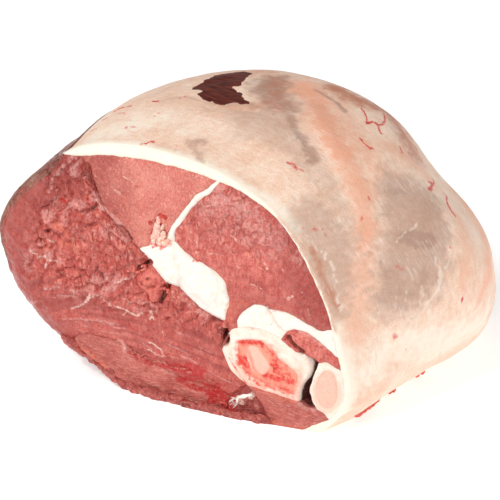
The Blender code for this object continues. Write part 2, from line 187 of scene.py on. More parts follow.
def around(values: Sequence[float], theta: Array) -> Array:
    """A smooth periodic curve through values at even angles."""
    v = np.array(values, float)
    s = (theta % math.tau) / math.tau * len(v)
    i = np.floor(s).astype(int)
    t = s - i
    a, b, c, d = (v[(i + k) % len(v)] for k in (-1, 0, 1, 2))
    return 0.5 * (2 * b + (c - a) * t + (2 * a - 5 * b + 4 * c - d) * t**2
                  + (3 * b - a - 3 * c + d) * t**3)


def soft_min(a: Array, b: Array, k: float) -> Array:
    """The smaller of two lengths, rounded over within k of their crossing."""
    h = np.clip(0.5 + 0.5 * (b - a) / k, 0, 1)
    return b * (1 - h) + a * h - k * h * (1 - h)


def signed_area(p: Array) -> float:
    """Area of a closed loop, positive when it runs anticlockwise."""
    q = np.roll(p, -1, axis=0)
    return 0.5 * float(np.sum(p[:, 0] * q[:, 1] - q[:, 0] * p[:, 1]))


def in_chunks(work: Callable[[Array], Array], points: Array, size: int = 3000) -> Array:
    """A per-point function applied piece by piece, to keep memory small."""
    if not len(points):
        return work(points)
    return np.concatenate([work(points[i:i + size]) for i in range(0, len(points), size)])


def inside(loop: Array, points: Array) -> Array:
    """Which points lie in a closed loop."""
    a, b = loop[None], np.roll(loop, -1, axis=0)[None]
    rise = np.where(b[..., 1] == a[..., 1], 1e-9, b[..., 1] - a[..., 1])

    def work(part: Array) -> Array:
        """Counts the edges crossed to one side of each point."""
        q = part[:, None]
        crosses = (a[..., 1] > q[..., 1]) != (b[..., 1] > q[..., 1])
        x = a[..., 0] + (q[..., 1] - a[..., 1]) * (b[..., 0] - a[..., 0]) / rise
        return (crosses & (q[..., 0] < x)).sum(1) % 2 == 1

    return in_chunks(work, points)


def line_distance(line: Array, points: Array, closed: bool = False) -> Array:
    """Distance from each point to a polyline's nearest edge."""
    a = line if closed else line[:-1]
    ab = (np.roll(line, -1, axis=0) if closed else line[1:]) - a

    def work(part: Array) -> Array:
        """Distance to the nearest edge for one batch of points."""
        ap = part[:, None] - a[None]
        t = np.clip((ap * ab).sum(-1) / np.maximum((ab**2).sum(-1), 1e-12), 0, 1)
        return np.sqrt(((ap - ab * t[..., None]) ** 2).sum(-1)).min(1)

    return in_chunks(work, points)


# ------------------------------------------------------------------ the leg's shape
class LegShape:
    """The cut end's outline and the way cross-sections change through the leg."""

    CUT_OUTLINE = (
        (-7, 69.5), (0.5, 85), (13, 98.8), (27.5, 111), (42, 119), (60, 122.8), (80, 122.5),
        (100, 119.0), (117, 112.0), (130, 103.5), (140, 92), (149, 76), (156, 60),
        (161, 45), (165, 29), (164, 16), (157, 5), (148, -3), (120, -9), (90, -9),
        (62, -3), (43, 5), (26, 15), (10, 27), (-1, 41.5), (-5.5, 56),
    )
    STATIONS = (
        (0.00, 0.0, (0, 0, 0, 0, 0, 0, 0, 0, 0, 0, 0, 0)),
        (0.10, 4.0, (8, 6, 4, 3, 4, 3, 3, 4, 3, 0, 0, 3)),
        (0.30, 11.0, (20, 15, 12, 8, 10, 6, 4, 6, 4, 0, 0, 4)),
        (0.52, 19.0, (26, 16, 12, 10, 10, 4, 2, 4, 3, 0, 0, 5)),
        (0.74, 27.0, (15, 2, 5, 6, 3, -3, -4, -2, -2, 0, 0, 6)),
        (0.90, 30.0, (3, -9, -8, -9, -11, -14, -14, -10, -5, -1, 0, 0)),
        (1.00, 32.0, (-12, -22, -26, -24, -24, -27, -26, -20, -12, -4, -4, -12)),
    )
    FAT_THICKNESS = (
        (-45, 2.6), (-32, 2.6), (-22, 2.6), (-12, 3.6), (-5, 2.6), (2, 1.6), (25, 1.5),
        (50, 1.7), (62, 3.0), (75, 4.4), (90, 5.6), (110, 6.2), (122, 5.2), (128, 3.8),
    )
    RIM_ROLL = (
        (0, 1.2), (110, 1.2), (135, 4.0), (165, 8.0), (200, 8.0), (225, 4.5), (245, 0.0),
        (260, -3.5), (285, -6.0), (305, -4.5), (320, -1.0), (335, 1.0),
    )

    def __init__(self) -> None:
        """Works out the radius of the cut end at each angle."""
        outline = catmull_rom(self.CUT_OUTLINE, 24, closed=True) - np.array(CENTRE)
        angle = np.arctan2(outline[:, 1], outline[:, 0]) % math.tau
        order = np.argsort(angle)
        self._angle = angle[order]
        self._radius = np.hypot(*outline[order].T)
        self._at = np.array([s[0] for s in self.STATIONS])
        self._shift = np.array([s[1] for s in self.STATIONS])

    def _free(self, theta: Array) -> Array:
        """Radius of the cut end before the board flattens it."""
        return np.interp(theta % math.tau, self._angle, self._radius, period=math.tau)

    @staticmethod
    def _board(theta: Array) -> Array:
        """Distance from the middle down to the board at each angle."""
        down = np.maximum(-np.sin(theta), 1e-3)
        return np.where(np.sin(theta) < -1e-3, CENTRE[1] / down, 1e4)

    def cut_radius(self, theta: Array) -> Array:
        """Radius of the cut end at each angle, flat where it rests."""
        return soft_min(self._free(theta), self._board(theta), FOOT_ROUND)

    def section(self, share: float, theta: Array) -> tuple[float, Array]:
        """Shift and radius of the cross-section at a share of the depth."""
        growth = np.stack([around(s[2], theta) for s in self.STATIONS])
        at = self._at
        k = min(int(np.searchsorted(at, share, side="right")) - 1, len(at) - 2)
        h = at[k + 1] - at[k]
        u = (share - at[k]) / h
        w = (2 * u**3 - 3 * u**2 + 1, u**3 - 2 * u**2 + u, 3 * u**2 - 2 * u**3, u**3 - u**2)

        def blend(rows: Array) -> Array:
            """A smooth value between the stations on either side."""
            slope = np.gradient(rows, at, axis=0)
            return (w[0] * rows[k] + w[1] * h * slope[k] + w[2] * rows[k + 1]
                    + w[3] * h * slope[k + 1])

        radius = soft_min(self._free(theta) + blend(growth), self._board(theta), FOOT_ROUND)
        return float(blend(self._shift)), radius

    def carry(self, points: Array, share: float) -> Array:
        """Points of the cut end carried to a share of the leg's depth, in the row frame."""
        p = np.asarray(points, float) - np.array(CENTRE)
        theta = np.arctan2(p[:, 1], p[:, 0])
        inward = np.hypot(*p.T) / self.cut_radius(theta)
        shift, radius = self.section(share, theta)
        r = inward * radius
        u = np.clip((inward - 1 + RIM_ROLL_WIDTH) / RIM_ROLL_WIDTH, 0, 1)
        roll = by_angle(self.RIM_ROLL, np.degrees(theta)) * (1 - np.sqrt(1 - (0.98 * u) ** 2))
        placed = np.stack([CENTRE[0] + shift + r * np.cos(theta),
                           roll * (1 - share) + DEPTH * share,
                           CENTRE[1] + r * np.sin(theta)], 1)
        return placed - STANDS_AT

    def on_skin(self, degrees: float) -> tuple[float, float]:
        """A point of the cut end's outline."""
        theta = math.radians(degrees)
        r = float(self.cut_radius(np.array(theta)))
        return (CENTRE[0] + r * math.cos(theta), CENTRE[1] + r * math.sin(theta))

    def under_fat(self, degrees: float) -> tuple[float, float]:
        """A point of the line where the fat under the skin meets the meat."""
        theta = math.radians(degrees)
        r = float(self.cut_radius(np.array(theta)))
        r -= float(by_angle(self.FAT_THICKNESS, degrees))
        return (CENTRE[0] + r * math.cos(theta), CENTRE[1] + r * math.sin(theta))

    def on_side(self, degrees: float, depth: float) -> Array:
        """A point of the leg's side at an angle and a depth behind the cut end."""
        return self.carry(np.array([self.on_skin(degrees)]), depth / DEPTH)[0]


class SeamMap:
    """Every seam of the cut end, shared by the pieces on its two sides."""

    FAT_START, GROOVE_TOP, FASCIA_LEFT, FASCIA_RIGHT = 134.0, 126.5, 70.2, 68.9
    JOINT_FAT_TOP, JOINT_FAT_LOW, SMALL_BONE_TOP, SMALL_BONE_LOW = -1.5, -11.5, -15.0, -32.5
    FAT_FOOT, LOWER_FOOT, FLAP_FOOT, BAND_END = -41.5, -50.5, -64.0, -139.5
    OUTSIDE = {"skin", "foot_lower", "foot_flap", "foot_band", "bare_left"}

    def __init__(self, shape: LegShape) -> None:
        """Lays every seam between its end points."""
        self.shape = shape
        skin, fat = shape.on_skin, shape.under_fat
        k0, k1, k2 = (66.0, 73.9), (70.5, 76.2), (79.8, 84.0)
        n1, n2 = (79.0, 59.6), (72.5, 66.2)
        p0, p1, p2 = (107.8, 61.5), (106.6, 46.5), (109.5, 42.5)
        q0, q1, q2, q3 = (133.2, 43.0), (144.3, 38.3), (150.9, 35.6), (150.2, 11.9)
        q4, q5, t1 = (141.1, 13.6), (117.0, 16.0), (109.0, 8.5)
        r0, r1 = (112.6, 44.1), (120.8, 57.9)
        self.lines: dict[str, Array] = {
            "skin": self._arc(skin, self.FAT_START, self.FAT_FOOT),
            "fat_edge": self._seam(skin(self.FAT_START), fat(self.GROOVE_TOP)),
            "fat_top": self._arc(fat, self.GROOVE_TOP, self.FASCIA_LEFT),
            "fat_fascia": self._arc(fat, self.FASCIA_LEFT, self.FASCIA_RIGHT),
            "fat_right": self._arc(fat, self.FASCIA_RIGHT, self.JOINT_FAT_TOP),
            "fat_joint": self._arc(fat, self.JOINT_FAT_TOP, self.JOINT_FAT_LOW),
            "fat_small_muscle": self._arc(fat, self.JOINT_FAT_LOW, self.SMALL_BONE_TOP),
            "fat_small_bone": self._arc(fat, self.SMALL_BONE_TOP, self.SMALL_BONE_LOW),
            "fat_foot": self._seam(fat(self.SMALL_BONE_LOW), (151.0, 4.4), skin(self.FAT_FOOT)),
            "foot_lower": self._arc(skin, self.FAT_FOOT, self.LOWER_FOOT),
            "foot_flap": self._arc(skin, self.LOWER_FOOT, self.FLAP_FOOT),
            "foot_band": self._arc(skin, self.FLAP_FOOT, self.BAND_END),
            "bare_left": self._arc(skin, self.BAND_END, self.FAT_START - 360),
            "groove": self._seam(fat(self.GROOVE_TOP), (40.6, 110.5), (43.0, 103.9),
                                 (45.1, 97.0), (47.9, 92.2), (52.5, 86.8), (57.7, 80.9),
                                 (62.2, 76.6), k0),
            "fascia_left": self._seam(fat(self.FASCIA_LEFT), (98.6, 109.4), (93.2, 104.6),
                                      (88.6, 98.4), (85.2, 93.0), (81.6, 87.6), k2),
            "fascia_right": self._seam(fat(self.FASCIA_RIGHT), (100.2, 107.4), (95.2, 103.0),
                                       (90.6, 97.0), (87.2, 91.6), (83.8, 86.4), (83.0, 81.0)),
            "seam_fat_top": self._seam((83.0, 81.0), (87.9, 76.8), (91.6, 74.4), (96.8, 72.8),
                                       (103.4, 69.3), (107.0, 65.6), p0),
            "gland": self._seam(k1, (71.7, 80.2), (73.7, 86.4), (76.6, 93.0), (79.0, 89.4), k2),
            "gland_foot": self._seam(k1, (74.6, 78.4), (77.6, 81.0), k2),
            "tip": self._seam(k0, k1),
            "seam_fat_left": self._seam(k0, (69.4, 70.6), n2),
            "knob_fat": self._seam(n2, (76.0, 62.6), n1),
            "knob": self._seam(n2, (68.0, 63.8), (64.2, 60.0), (64.6, 55.4), (68.6, 52.6),
                               (71.6, 48.9), (75.6, 50.0), (78.2, 54.6), n1),
            "seam_fat_low": self._seam(n1, (84.7, 58.6), (88.5, 55.6), (94.7, 51.2),
                                       (100.9, 48.3), p1),
            "fat_meet": self._seam(p0, (108.6, 56.0), (107.6, 51.0), p1),
            "joint_left": self._seam(p1, p2),
            "joint_top": self._seam(r1, (124.0, 58.4), (128.6, 57.2), (134.0, 57.6),
                                    (139.9, 56.0), (145.4, 53.6), (151.0, 51.6),
                                    fat(self.JOINT_FAT_TOP)),
            "tongue": self._seam(r0, (112.2, 47.2), (113.6, 50.8), (116.6, 54.6), r1),
            "tongue_foot": self._seam(p2, r0),
            "joint_low": self._seam(q0, (135.0, 46.6), (138.4, 49.0), (142.8, 49.6),
                                    (147.6, 48.0), (152.6, 44.8), fat(self.JOINT_FAT_LOW)),
            "bone_top": self._seam(r0, (118.0, 45.6), (123.4, 45.9), (128.6, 45.0), q0),
            "bone_muscle": self._seam(q0, (136.6, 40.6), (140.4, 38.2), q1),
            "bone_gap": self._seam(q1, (146.6, 35.6), (146.9, 31.2), (145.9, 27.6),
                                   (143.9, 24.6), (142.2, 20.6), q4),
            "bone_foot": self._seam(q4, (137.1, 13.8), (130.4, 14.8), (122.8, 15.2), q5),
            "bone_left": self._seam(q5, (111.8, 19.6), (107.6, 25.0), (105.4, 32.0),
                                    (106.8, 37.8), p2),
            "small_muscle_gap": self._seam(q1, (147.6, 37.4), q2),
            "small_bone_top": self._seam(q2, (154.4, 36.2), fat(self.SMALL_BONE_TOP)),
            "small_bone_gap": self._seam(q2, (149.6, 31.8), (148.4, 27.6), (147.3, 22.4),
                                         (147.2, 17.6), q3),
            "small_bone_foot": self._seam(q3, (153.4, 10.4), fat(self.SMALL_BONE_LOW)),
            "gap_foot": self._seam(q4, (145.8, 11.4), q3),
            "lower_flap": self._seam(q5, (120.6, 12.6), (124.6, 7.4), skin(self.LOWER_FOOT)),
            "flap_left": self._seam(q5, (112.6, 12.6), t1),
            "flap_band": self._seam(t1, (108.4, 4.6), skin(self.FLAP_FOOT)),
            "band_top": self._seam(skin(self.BAND_END), (32.0, 21.6), (44.0, 24.6),
                                   (55.3, 23.4), (62.7, 20.6), (69.6, 18.0), (76.0, 15.3),
                                   (83.4, 12.4), (91.0, 11.4), (100.0, 11.4), t1),
        }

    @staticmethod
    def _arc(place: Callable[[float], tuple[float, float]], start: float, end: float) -> Array:
        """A stretch of the outline or of the fat's inner side between two angles."""
        count = max(2, math.ceil(abs(end - start) / 0.75))
        return evenly(np.array([place(a) for a in np.linspace(start, end, count + 1)]), LOOP_STEP)

    @staticmethod
    def _seam(*points: tuple[float, float]) -> Array:
        """A smooth seam through its points, evenly stepped."""
        return evenly(catmull_rom(points), LOOP_STEP)

    def _wavered(self, line: Array) -> Array:
        """A seam with the small waver of a knife-cut boundary, none at the outline."""
        p = line - np.array(CENTRE)
        reach = np.hypot(*p.T) / self.shape.cut_radius(np.arctan2(p[:, 1], p[:, 0]))
        calm = smooth(1.0, 0.96, reach)[:, None]
        wave = np.stack([0.34 * lattice_noise(line, 3.6, 5) + 0.18 * lattice_noise(line, 1.5, 6),
                         0.34 * lattice_noise(line, 3.6, 7) + 0.18 * lattice_noise(line, 1.5, 8)],
                        1)
        return line + wave * calm

    def loop(self, names: Iterable[str], inset: float) -> tuple[Array, Array]:
        """The loop of a piece, counter-clockwise, and which of its points are on the outline."""
        points, outer = [], []
        for name in names:
            key = name.lstrip("-")
            free = key in self.OUTSIDE
            line = self.lines[key] if free else self._wavered(self.lines[key])
            line = line[::-1] if name.startswith("-") else line
            points.append(line[:-1])
            outer += [free] * (len(line) - 1)
        p, free = np.vstack(points), np.array(outer)
        if signed_area(p) < 0:
            p = p[::-1]
            free = np.roll(free[::-1], -1)
        d = np.where(free, 0.0, inset)
        return drawn_in(p, d), free | np.roll(free, 1)


def drawn_in(p: Array, d: Array) -> Array:
    """A counter-clockwise loop with each edge moved inwards by its own distance."""
    edge = np.roll(p, -1, axis=0) - p
    normal = np.stack([-edge[:, 1], edge[:, 0]], 1) / np.hypot(*edge.T)[:, None]
    before = np.roll(normal, 1, axis=0)
    mean = before + normal
    mean /= np.maximum(np.hypot(*mean.T), 1e-6)[:, None]
    amount = np.where(np.abs(d) < np.abs(np.roll(d, 1)), d, np.roll(d, 1))
    return p + mean * amount[:, None]


# ------------------------------------------------------------------ painted features
class Layer(str, Enum):
    """Named point attributes that the materials read."""

    PALE = "pale"          # white marbling and sinew
    SALMON = "salmon"      # pinker fat in the grain
    BLOOD = "blood"        # fresh red
    DARK = "dark"          # painted shade in crevices, holes and gaps
    SHEEN = "sheen"        # painted sheen, and the grey-violet film of membrane
    RIM = "rim"            # freshly cut fat, or the rim of a bone
    BARE = "bare"          # uncut side of a muscle
    GREY = "grey"          # meat showing through thin skin, and painted shade along a fold
    PEACH = "peach"        # warm band of thicker fat
    CREAM = "cream"        # thick bright fat
    MAROON = "maroon"      # skin torn away
    BROWN = "brown"        # dried skin, and painted shade where the skin turns away at the back
    VEIN = "vein"          # small blood vessels
    WEB = "web"            # whitish threads in the skin
    LUMPY = "lumpy"        # how torn and lumpy the cut is
    CLEFT_SHADE_AND_WASH = "deep"          # painted shade in the clefts between bundles of fibre, and broader darker washes


def run_of(ring: Array, flags: Array) -> Array:
    """The flagged run of a closed ring, in order and unbroken."""
    first = int(np.flatnonzero(flags & ~np.roll(flags, 1))[0])
    return np.roll(ring, -first, axis=0)[np.roll(flags, -first)]


@dataclass(frozen=True)
class Stroke:
    """A soft or crisp brush stroke of one layer along a line of points."""

    layer: Layer
    points: tuple[tuple[float, float], ...]
    width: float
    strength: float = 1.0
    waver: float = 0.35
    soft: bool = False

    def value(self, at: Array) -> Array:
        """Strength of the stroke at each position."""
        line = np.asarray(self.points, float)
        if len(line) == 1:
            line = np.vstack([line, line + 1e-3])
        elif len(line) > 2:
            line = catmull_rom(self.points, 5)
        reach = self.width * (3.0 if self.soft else 1.5) + 2 * self.waver
        near = np.all((at >= line.min(0) - reach) & (at <= line.max(0) + reach), axis=1)
        out = np.zeros(len(at))
        if not near.any():
            return out
        p = at[near]
        wave = [lattice_noise(p, 1.7, k) + lattice_noise(p, 4.3, k + 1) for k in (31, 33)]
        d = line_distance(line, p + self.waver * np.stack(wave, 1))
        if self.soft:
            out[near] = np.exp(-((d / self.width) ** 2))
        else:
            out[near] = 1 - smooth(0.45 * self.width, 1.15 * self.width, d)
        return self.strength * out


@dataclass(frozen=True)
class Patch:
    """A filled area of one layer, inside a closed line of points."""

    layer: Layer
    points: tuple[tuple[float, float], ...]
    edge: float
    strength: float = 1.0
    waver: float = 0.5

    def value(self, at: Array) -> Array:
        """Strength of the patch at each position."""
        line = catmull_rom(self.points, 5, closed=True)
        reach = 2 * self.edge + 2 * self.waver
        near = np.all((at >= line.min(0) - reach) & (at <= line.max(0) + reach), axis=1)
        out = np.zeros(len(at))
        if not near.any():
            return out
        p = at[near]
        wave = [lattice_noise(p, 1.7, k) + lattice_noise(p, 4.3, k + 1) for k in (41, 43)]
        p = p + self.waver * np.stack(wave, 1)
        d = line_distance(line, p, closed=True)
        d = np.where(inside(line, p), -d, d)
        out[near] = 1 - smooth(-self.edge, self.edge, d)
        return self.strength * out


Mark = Stroke | Patch


@dataclass(frozen=True)
class Relief:
    """A groove (negative height) or swelling along a line, in millimetres."""

    points: tuple[tuple[float, float], ...]
    width: float
    height: float
    waver: float = 0.4

    def value(self, at: Array) -> Array:
        """Height added at each position."""
        stroke = Stroke(Layer.DARK, self.points, self.width, 1.0, self.waver, soft=True)
        return self.height * stroke.value(at)


def painted(strokes: Iterable[Mark], layer: Layer, at: Array) -> Array:
    """All marks of one layer, the strongest winning."""
    total = np.zeros(len(at))
    for stroke in strokes:
        if stroke.layer is layer:
            total = np.maximum(total, stroke.value(at))
    return total


# Marbling, blood and stains of the cut end, painted shade in its crevices and painted sheen, by position
# across it.
CUT_STROKES: tuple[Mark, ...] = (
    Stroke(Layer.SALMON, ((24.5, 78), (28.5, 77), (32, 73), (36, 66.5)), 1.1, 0.9),
    Stroke(Layer.SALMON, ((24.5, 78.2), (28.5, 77.4)), 1.9, 0.8),
    Stroke(Layer.SALMON, ((29.5, 83.5), (29.6, 78.5)), 0.8, 0.7),
    Stroke(Layer.SALMON, ((24, 69.5), (32, 69)), 1.5, 0.7),
    Stroke(Layer.PALE, ((21.5, 70), (25, 67.5)), 0.9, 0.6),
    Stroke(Layer.PALE, ((12.5, 62.5), (16.5, 60), (20, 61), (21.5, 60), (26, 59)), 0.65, 0.7),
    Stroke(Layer.PALE, ((20.5, 59.5), (19, 54.5)), 0.6, 0.6),
    Stroke(Layer.PALE, ((18, 43.5), (26, 46.5), (30, 45.5), (35.5, 46)), 0.9, 0.5),
    Stroke(Layer.PALE, ((41, 46.3), (40, 42.8), (36.6, 39.5), (31.4, 36.4)), 0.75, 0.9),
    Stroke(Layer.PALE, ((40, 42.8), (45, 46.5), (50.5, 43.2), (55.5, 42.5)), 0.6, 0.65),
    Stroke(Layer.PALE, ((54.6, 55), (59.5, 58), (63, 60)), 0.7, 0.75),
    Stroke(Layer.PALE, ((55.5, 43), (60.4, 41.6), (63.3, 40.2), (66.6, 41.7)), 0.7, 0.95),
    Stroke(Layer.PALE, ((60.4, 41.6), (57.8, 39)), 0.5, 0.8),
    Stroke(Layer.PALE, ((70.8, 44), (72.2, 41.7), (73.2, 40.3)), 0.6, 0.9),
    Stroke(Layer.PALE, ((72, 41.5), (70.2, 39.7)), 0.6, 0.8),
    Stroke(Layer.PALE, ((77, 36), (77.4, 32.6)), 0.6, 0.7),
    Stroke(Layer.PALE, ((58, 47.5), (63.5, 46), (69.2, 48.6)), 0.45, 0.55),
    Stroke(Layer.PALE, ((33.6, 30), (41, 28.2), (45.5, 30)), 0.8, 0.4),
    Stroke(Layer.PALE, ((51.8, 23.6), (57.3, 22.8), (62.3, 21.3)), 0.6, 0.5),
    Stroke(Layer.PALE, ((54, 25), (57.5, 21.5)), 1.2, 0.45),
    Stroke(Layer.PALE, ((70, 28), (74.5, 26.5), (77.5, 23)), 0.55, 0.8),
    Stroke(Layer.PALE, ((69, 23.5), (77, 22)), 0.55, 0.6),
    Stroke(Layer.PALE, ((69, 18.3), (74.5, 16.5)), 0.7, 0.75),
    Stroke(Layer.PALE, ((76, 15), (83, 13)), 1.1, 0.7),
    Stroke(Layer.PALE, ((63.7, 28), (74.7, 23), (84.6, 23.4)), 0.6, 0.4),
    Stroke(Layer.BLOOD, ((99.3, 3.8), (111.7, 8)), 0.8, 0.7),
    Stroke(Layer.PALE, ((71.5, 2), (82, 2), (94, 2.5), (101.5, 1)), 0.6, 0.5),
    Stroke(Layer.SALMON, ((36, 17), (43.5, 12.5), (49.5, 8.5)), 1.2, 0.8),
    Stroke(Layer.DARK, ((35, 18), (45.3, 12.4), (53.3, 9.2), (62, 5.4), (71.5, 2.6)), 0.5, 0.4, soft=True),
    Stroke(Layer.DARK, ((62.5, 1), (73, 0.3)), 0.9, 0.8, soft=True),
    Stroke(Layer.DARK, ((20.5, 73.5),), 1.1, 0.95, soft=True),
    Stroke(Layer.DARK, ((17, 70.5), (17, 68)), 0.7, 0.85, soft=True),
    Stroke(Layer.DARK, ((46.5, 58), (48, 54.5)), 1, 0.9, soft=True),
    Stroke(Layer.DARK, ((66, 64), (71, 68.5)), 1.4, 1, soft=True),
    Stroke(Layer.DARK, ((40, 85.5), (45.5, 91)), 0.8, 0.75, soft=True),
    Stroke(Layer.DARK, ((58, 83), (62.5, 77)), 0.8, 0.85, soft=True),
    Stroke(Layer.DARK, ((42.5, 109.5), (43.5, 103.5), (45.5, 98), (49.5, 92.5)), 0.7, 0.9, soft=True),
    Stroke(Layer.SHEEN, ((44.5, 96.5), (46.5, 91.5), (51, 90), (55.5, 86), (58, 84)), 1.2, 0.9),
    Stroke(Layer.PALE, ((45.5, 94), (47.5, 91.4), (51.5, 89.4)), 0.6, 0.6),
    Stroke(Layer.BLOOD, ((28.5, 91.5), (31.5, 90)), 0.6, 0.8),
    Stroke(Layer.SHEEN, ((27, 102.5), (31, 107)), 1.7, 0.6),
    Stroke(Layer.SHEEN, ((34, 104), (38, 105.5)), 1.3, 0.55),
    Stroke(Layer.SHEEN, ((23, 94), (25, 100)), 1.4, 0.6),
    Stroke(Layer.SHEEN, ((25, 86), (26.5, 91)), 1.7, 0.6),
    Stroke(Layer.DARK, ((106.8, 35.5), (106.4, 38.2), (106.2, 41.2)), 1.6, 1, soft=True),
    Stroke(Layer.DARK, ((100.4, 45.5), (104.2, 45.8)), 0.9, 0.8, soft=True),
    Stroke(Layer.SHEEN, ((94.7, 49.2), (98.5, 48.1), (102.8, 47.5)), 1.7, 0.9),
    Stroke(Layer.DARK, ((79.4, 58.4), (78.4, 55.7), (76.3, 49.2)), 1.1, 0.95, soft=True),
    Stroke(Layer.DARK, ((70.2, 60.2),), 0.9, 0.95, soft=True),
    Stroke(Layer.SALMON, ((82.7, 55.6), (88, 52.8), (93.7, 49.5)), 1.8, 0.4),
    Stroke(Layer.PALE, ((59.3, 108), (67.5, 104.6)), 0.45, 0.65),
    Stroke(Layer.BLOOD, ((66, 105), (67.6, 104.4)), 0.7, 0.8),
    Stroke(Layer.PALE, ((54.2, 102), (58, 99.3)), 0.55, 0.65),
    Stroke(Layer.SALMON, ((58, 99.3), (62.7, 92.3), (66.5, 86), (67.3, 79.2)), 0.6, 0.5),
    Stroke(Layer.PALE, ((45, 106.6), (47, 105)), 0.5, 0.5),
    Stroke(Layer.PALE, ((93, 113.5), (96.5, 116)), 0.5, 0.6),
    Stroke(Layer.PALE, ((78.6, 112), (79, 110.4)), 0.5, 0.5),
    Stroke(Layer.BLOOD, ((72, 88),), 1.4, 1),
    Stroke(Layer.BLOOD, ((76.6, 92.4), (79, 92)), 1.3, 1),
    Stroke(Layer.BLOOD, ((72.4, 76.4), (75.2, 78.4)), 0.8, 0.9),
    Stroke(Layer.BLOOD, ((77, 76.6), (80.3, 79.8)), 0.8, 0.8),
    Stroke(Layer.BLOOD, ((73.7, 86), (76.8, 82), (77.7, 87)), 0.8, 0.8),
    Stroke(Layer.BLOOD, ((95, 79.7),), 0.9, 0.9),
    Stroke(Layer.PALE, ((93.7, 78.2),), 0.7, 0.9),
    Stroke(Layer.SALMON, ((94.5, 76),), 2, 0.45),
    Stroke(Layer.BLOOD, ((92, 73.8), (95.6, 74)), 0.8, 0.85),
    Stroke(Layer.PALE, ((94.2, 84.4), (94.5, 80.8)), 0.5, 0.85),
    Stroke(Layer.PALE, ((98.5, 99.6), (100.2, 96.8)), 0.45, 0.6),
    Stroke(Layer.PALE, ((110.6, 90), (113, 88.4)), 0.6, 0.7),
    Stroke(Layer.PALE, ((113, 75), (116.2, 75)), 0.5, 0.6),
    Stroke(Layer.PALE, ((119, 68.4), (125, 66.6)), 0.45, 0.65),
    Stroke(Layer.PALE, ((108.5, 67.6), (112.5, 68)), 0.45, 0.5),
    Stroke(Layer.PALE, ((141.5, 85), (142.5, 80.3)), 0.45, 0.5),
    Stroke(Layer.PALE, ((136.6, 64.2), (138.5, 66)), 0.8, 0.85),
    Stroke(Layer.PALE, ((143, 69),), 0.7, 0.6),
    Stroke(Layer.PALE, ((125.7, 79.7), (127, 77)), 0.7, 0.65),
    Stroke(Layer.PALE, ((134, 78),), 0.8, 0.6),
    Stroke(Layer.PALE, ((146, 62), (146, 59)), 0.6, 0.5),
    Stroke(Layer.PALE, ((123, 77), (126.6, 75.5)), 0.5, 0.6),
    Stroke(Layer.PALE, ((100, 79.3), (107, 79.3)), 0.5, 0.55),
    Stroke(Layer.PALE, ((115.2, 112), (119.4, 111.2)), 0.5, 0.6),
    # Painted sheen: glossy pale islands high on the right muscle.
    Stroke(Layer.SHEEN, ((101.7, 104), (106.4, 106), (112.5, 105), (118, 104)), 3.1, 0.8),
    Stroke(Layer.SHEEN, ((98, 98), (108, 103), (120, 100), (130, 90)), 7.0, 0.62, 1.4, True),
    Stroke(Layer.SHEEN, ((100, 88), (112, 92), (124, 84)), 6.0, 0.4, 1.4, True),
    Stroke(Layer.SHEEN, ((113, 94),), 2.4, 0.6),
    Stroke(Layer.SHEEN, ((121, 91.5), (125.6, 88.6)), 2.1, 0.6),
    Stroke(Layer.SHEEN, ((126.5, 96.5), (121.4, 103)), 2.1, 0.6),
    Stroke(Layer.DARK, ((108.3, 108.4), (112, 109)), 0.5, 0.35, soft=True),
    Stroke(Layer.DARK, ((105, 97), (108.7, 98.8)), 0.6, 0.4, soft=True),
    Stroke(Layer.DARK, ((109.6, 93.6), (115.8, 97.8)), 0.6, 0.45, soft=True),
    Stroke(Layer.DARK, ((122.8, 95.3), (127.5, 92)), 0.6, 0.45, soft=True),
    Stroke(Layer.DARK, ((121.4, 103.2), (123.7, 99.8)), 0.6, 0.4, soft=True),
    Stroke(Layer.SALMON, ((127, 57.6), (130.3, 52), (133, 48.7), (138.3, 48)), 0.5, 0.8),
    Stroke(Layer.BLOOD, ((119.5, 45.6),), 0.8, 0.6),
    Stroke(Layer.BLOOD, ((121, 48.6),), 0.5, 0.5),
    Stroke(Layer.BLOOD, ((128.5, 50.5),), 0.7, 0.6),
    Stroke(Layer.BLOOD, ((129, 56.6), (133.8, 57)), 0.6, 0.5),
    Stroke(Layer.DARK, ((136.6, 45.2), (138.8, 41.9), (142.9, 39.4)), 1.2, 0.95, soft=True),
    Stroke(Layer.PALE, ((113.5, 9.3), (115.4, 6.8)), 1.5, 0.95),
    Stroke(Layer.PALE, ((119, 10.2), (120.4, 12)), 1.5, 0.95),
    Stroke(Layer.PALE, ((106, 5), (108, 4)), 0.6, 0.7),
    Stroke(Layer.PALE, ((108.4, 5), (109.8, 7)), 0.6, 0.7),
    Stroke(Layer.PALE, ((125, 12.2), (136, 8.9), (145, 6.7)), 0.45, 0.4),
    Stroke(Layer.SALMON, ((129, 1.2), (140.6, 0), (149.7, 0.5), (154, 5.5)), 1.3, 0.9),
    # Marrow: its pink wash, the bloody parts, the pale core and the arc beside it.
    Patch(Layer.SALMON, ((113.1, 36.5), (115.7, 38.4), (119.7, 39.1), (123.6, 40.4), (127.2, 40),
                         (130.3, 38.4), (133.5, 34.5), (136.6, 30.2), (139.4, 27.4),
                         (142.2, 24.3), (142.2, 20.9), (141.1, 15.9), (137.6, 15), (132, 16.2),
                         (126.5, 17), (122.5, 17.4), (118.5, 19.9), (114.6, 23.2),
                         (112.1, 26.9), (112.1, 32)), 2.4, 1.0, 0.8),
    Stroke(Layer.SALMON, ((113, 22), (118, 17.6), (126, 15), (134, 13.6), (140, 14)), 2.4, 0.7, 0.6,
           True),
    Stroke(Layer.SALMON, ((136, 32), (141, 28), (144, 22), (142.5, 16)), 2.4, 0.6, 0.8, True),
    Stroke(Layer.BLOOD, ((113.6, 37), (119.7, 38.3), (123.6, 39), (125, 37)), 1.4, 0.9, 0.5, True),
    Patch(Layer.BLOOD, ((112.5, 29.6), (115.7, 31), (117.7, 29.5), (118.9, 26.8), (119.7, 24.4),
                        (114.5, 24.9), (112.9, 27.1)), 1.6, 1.0, 0.6),
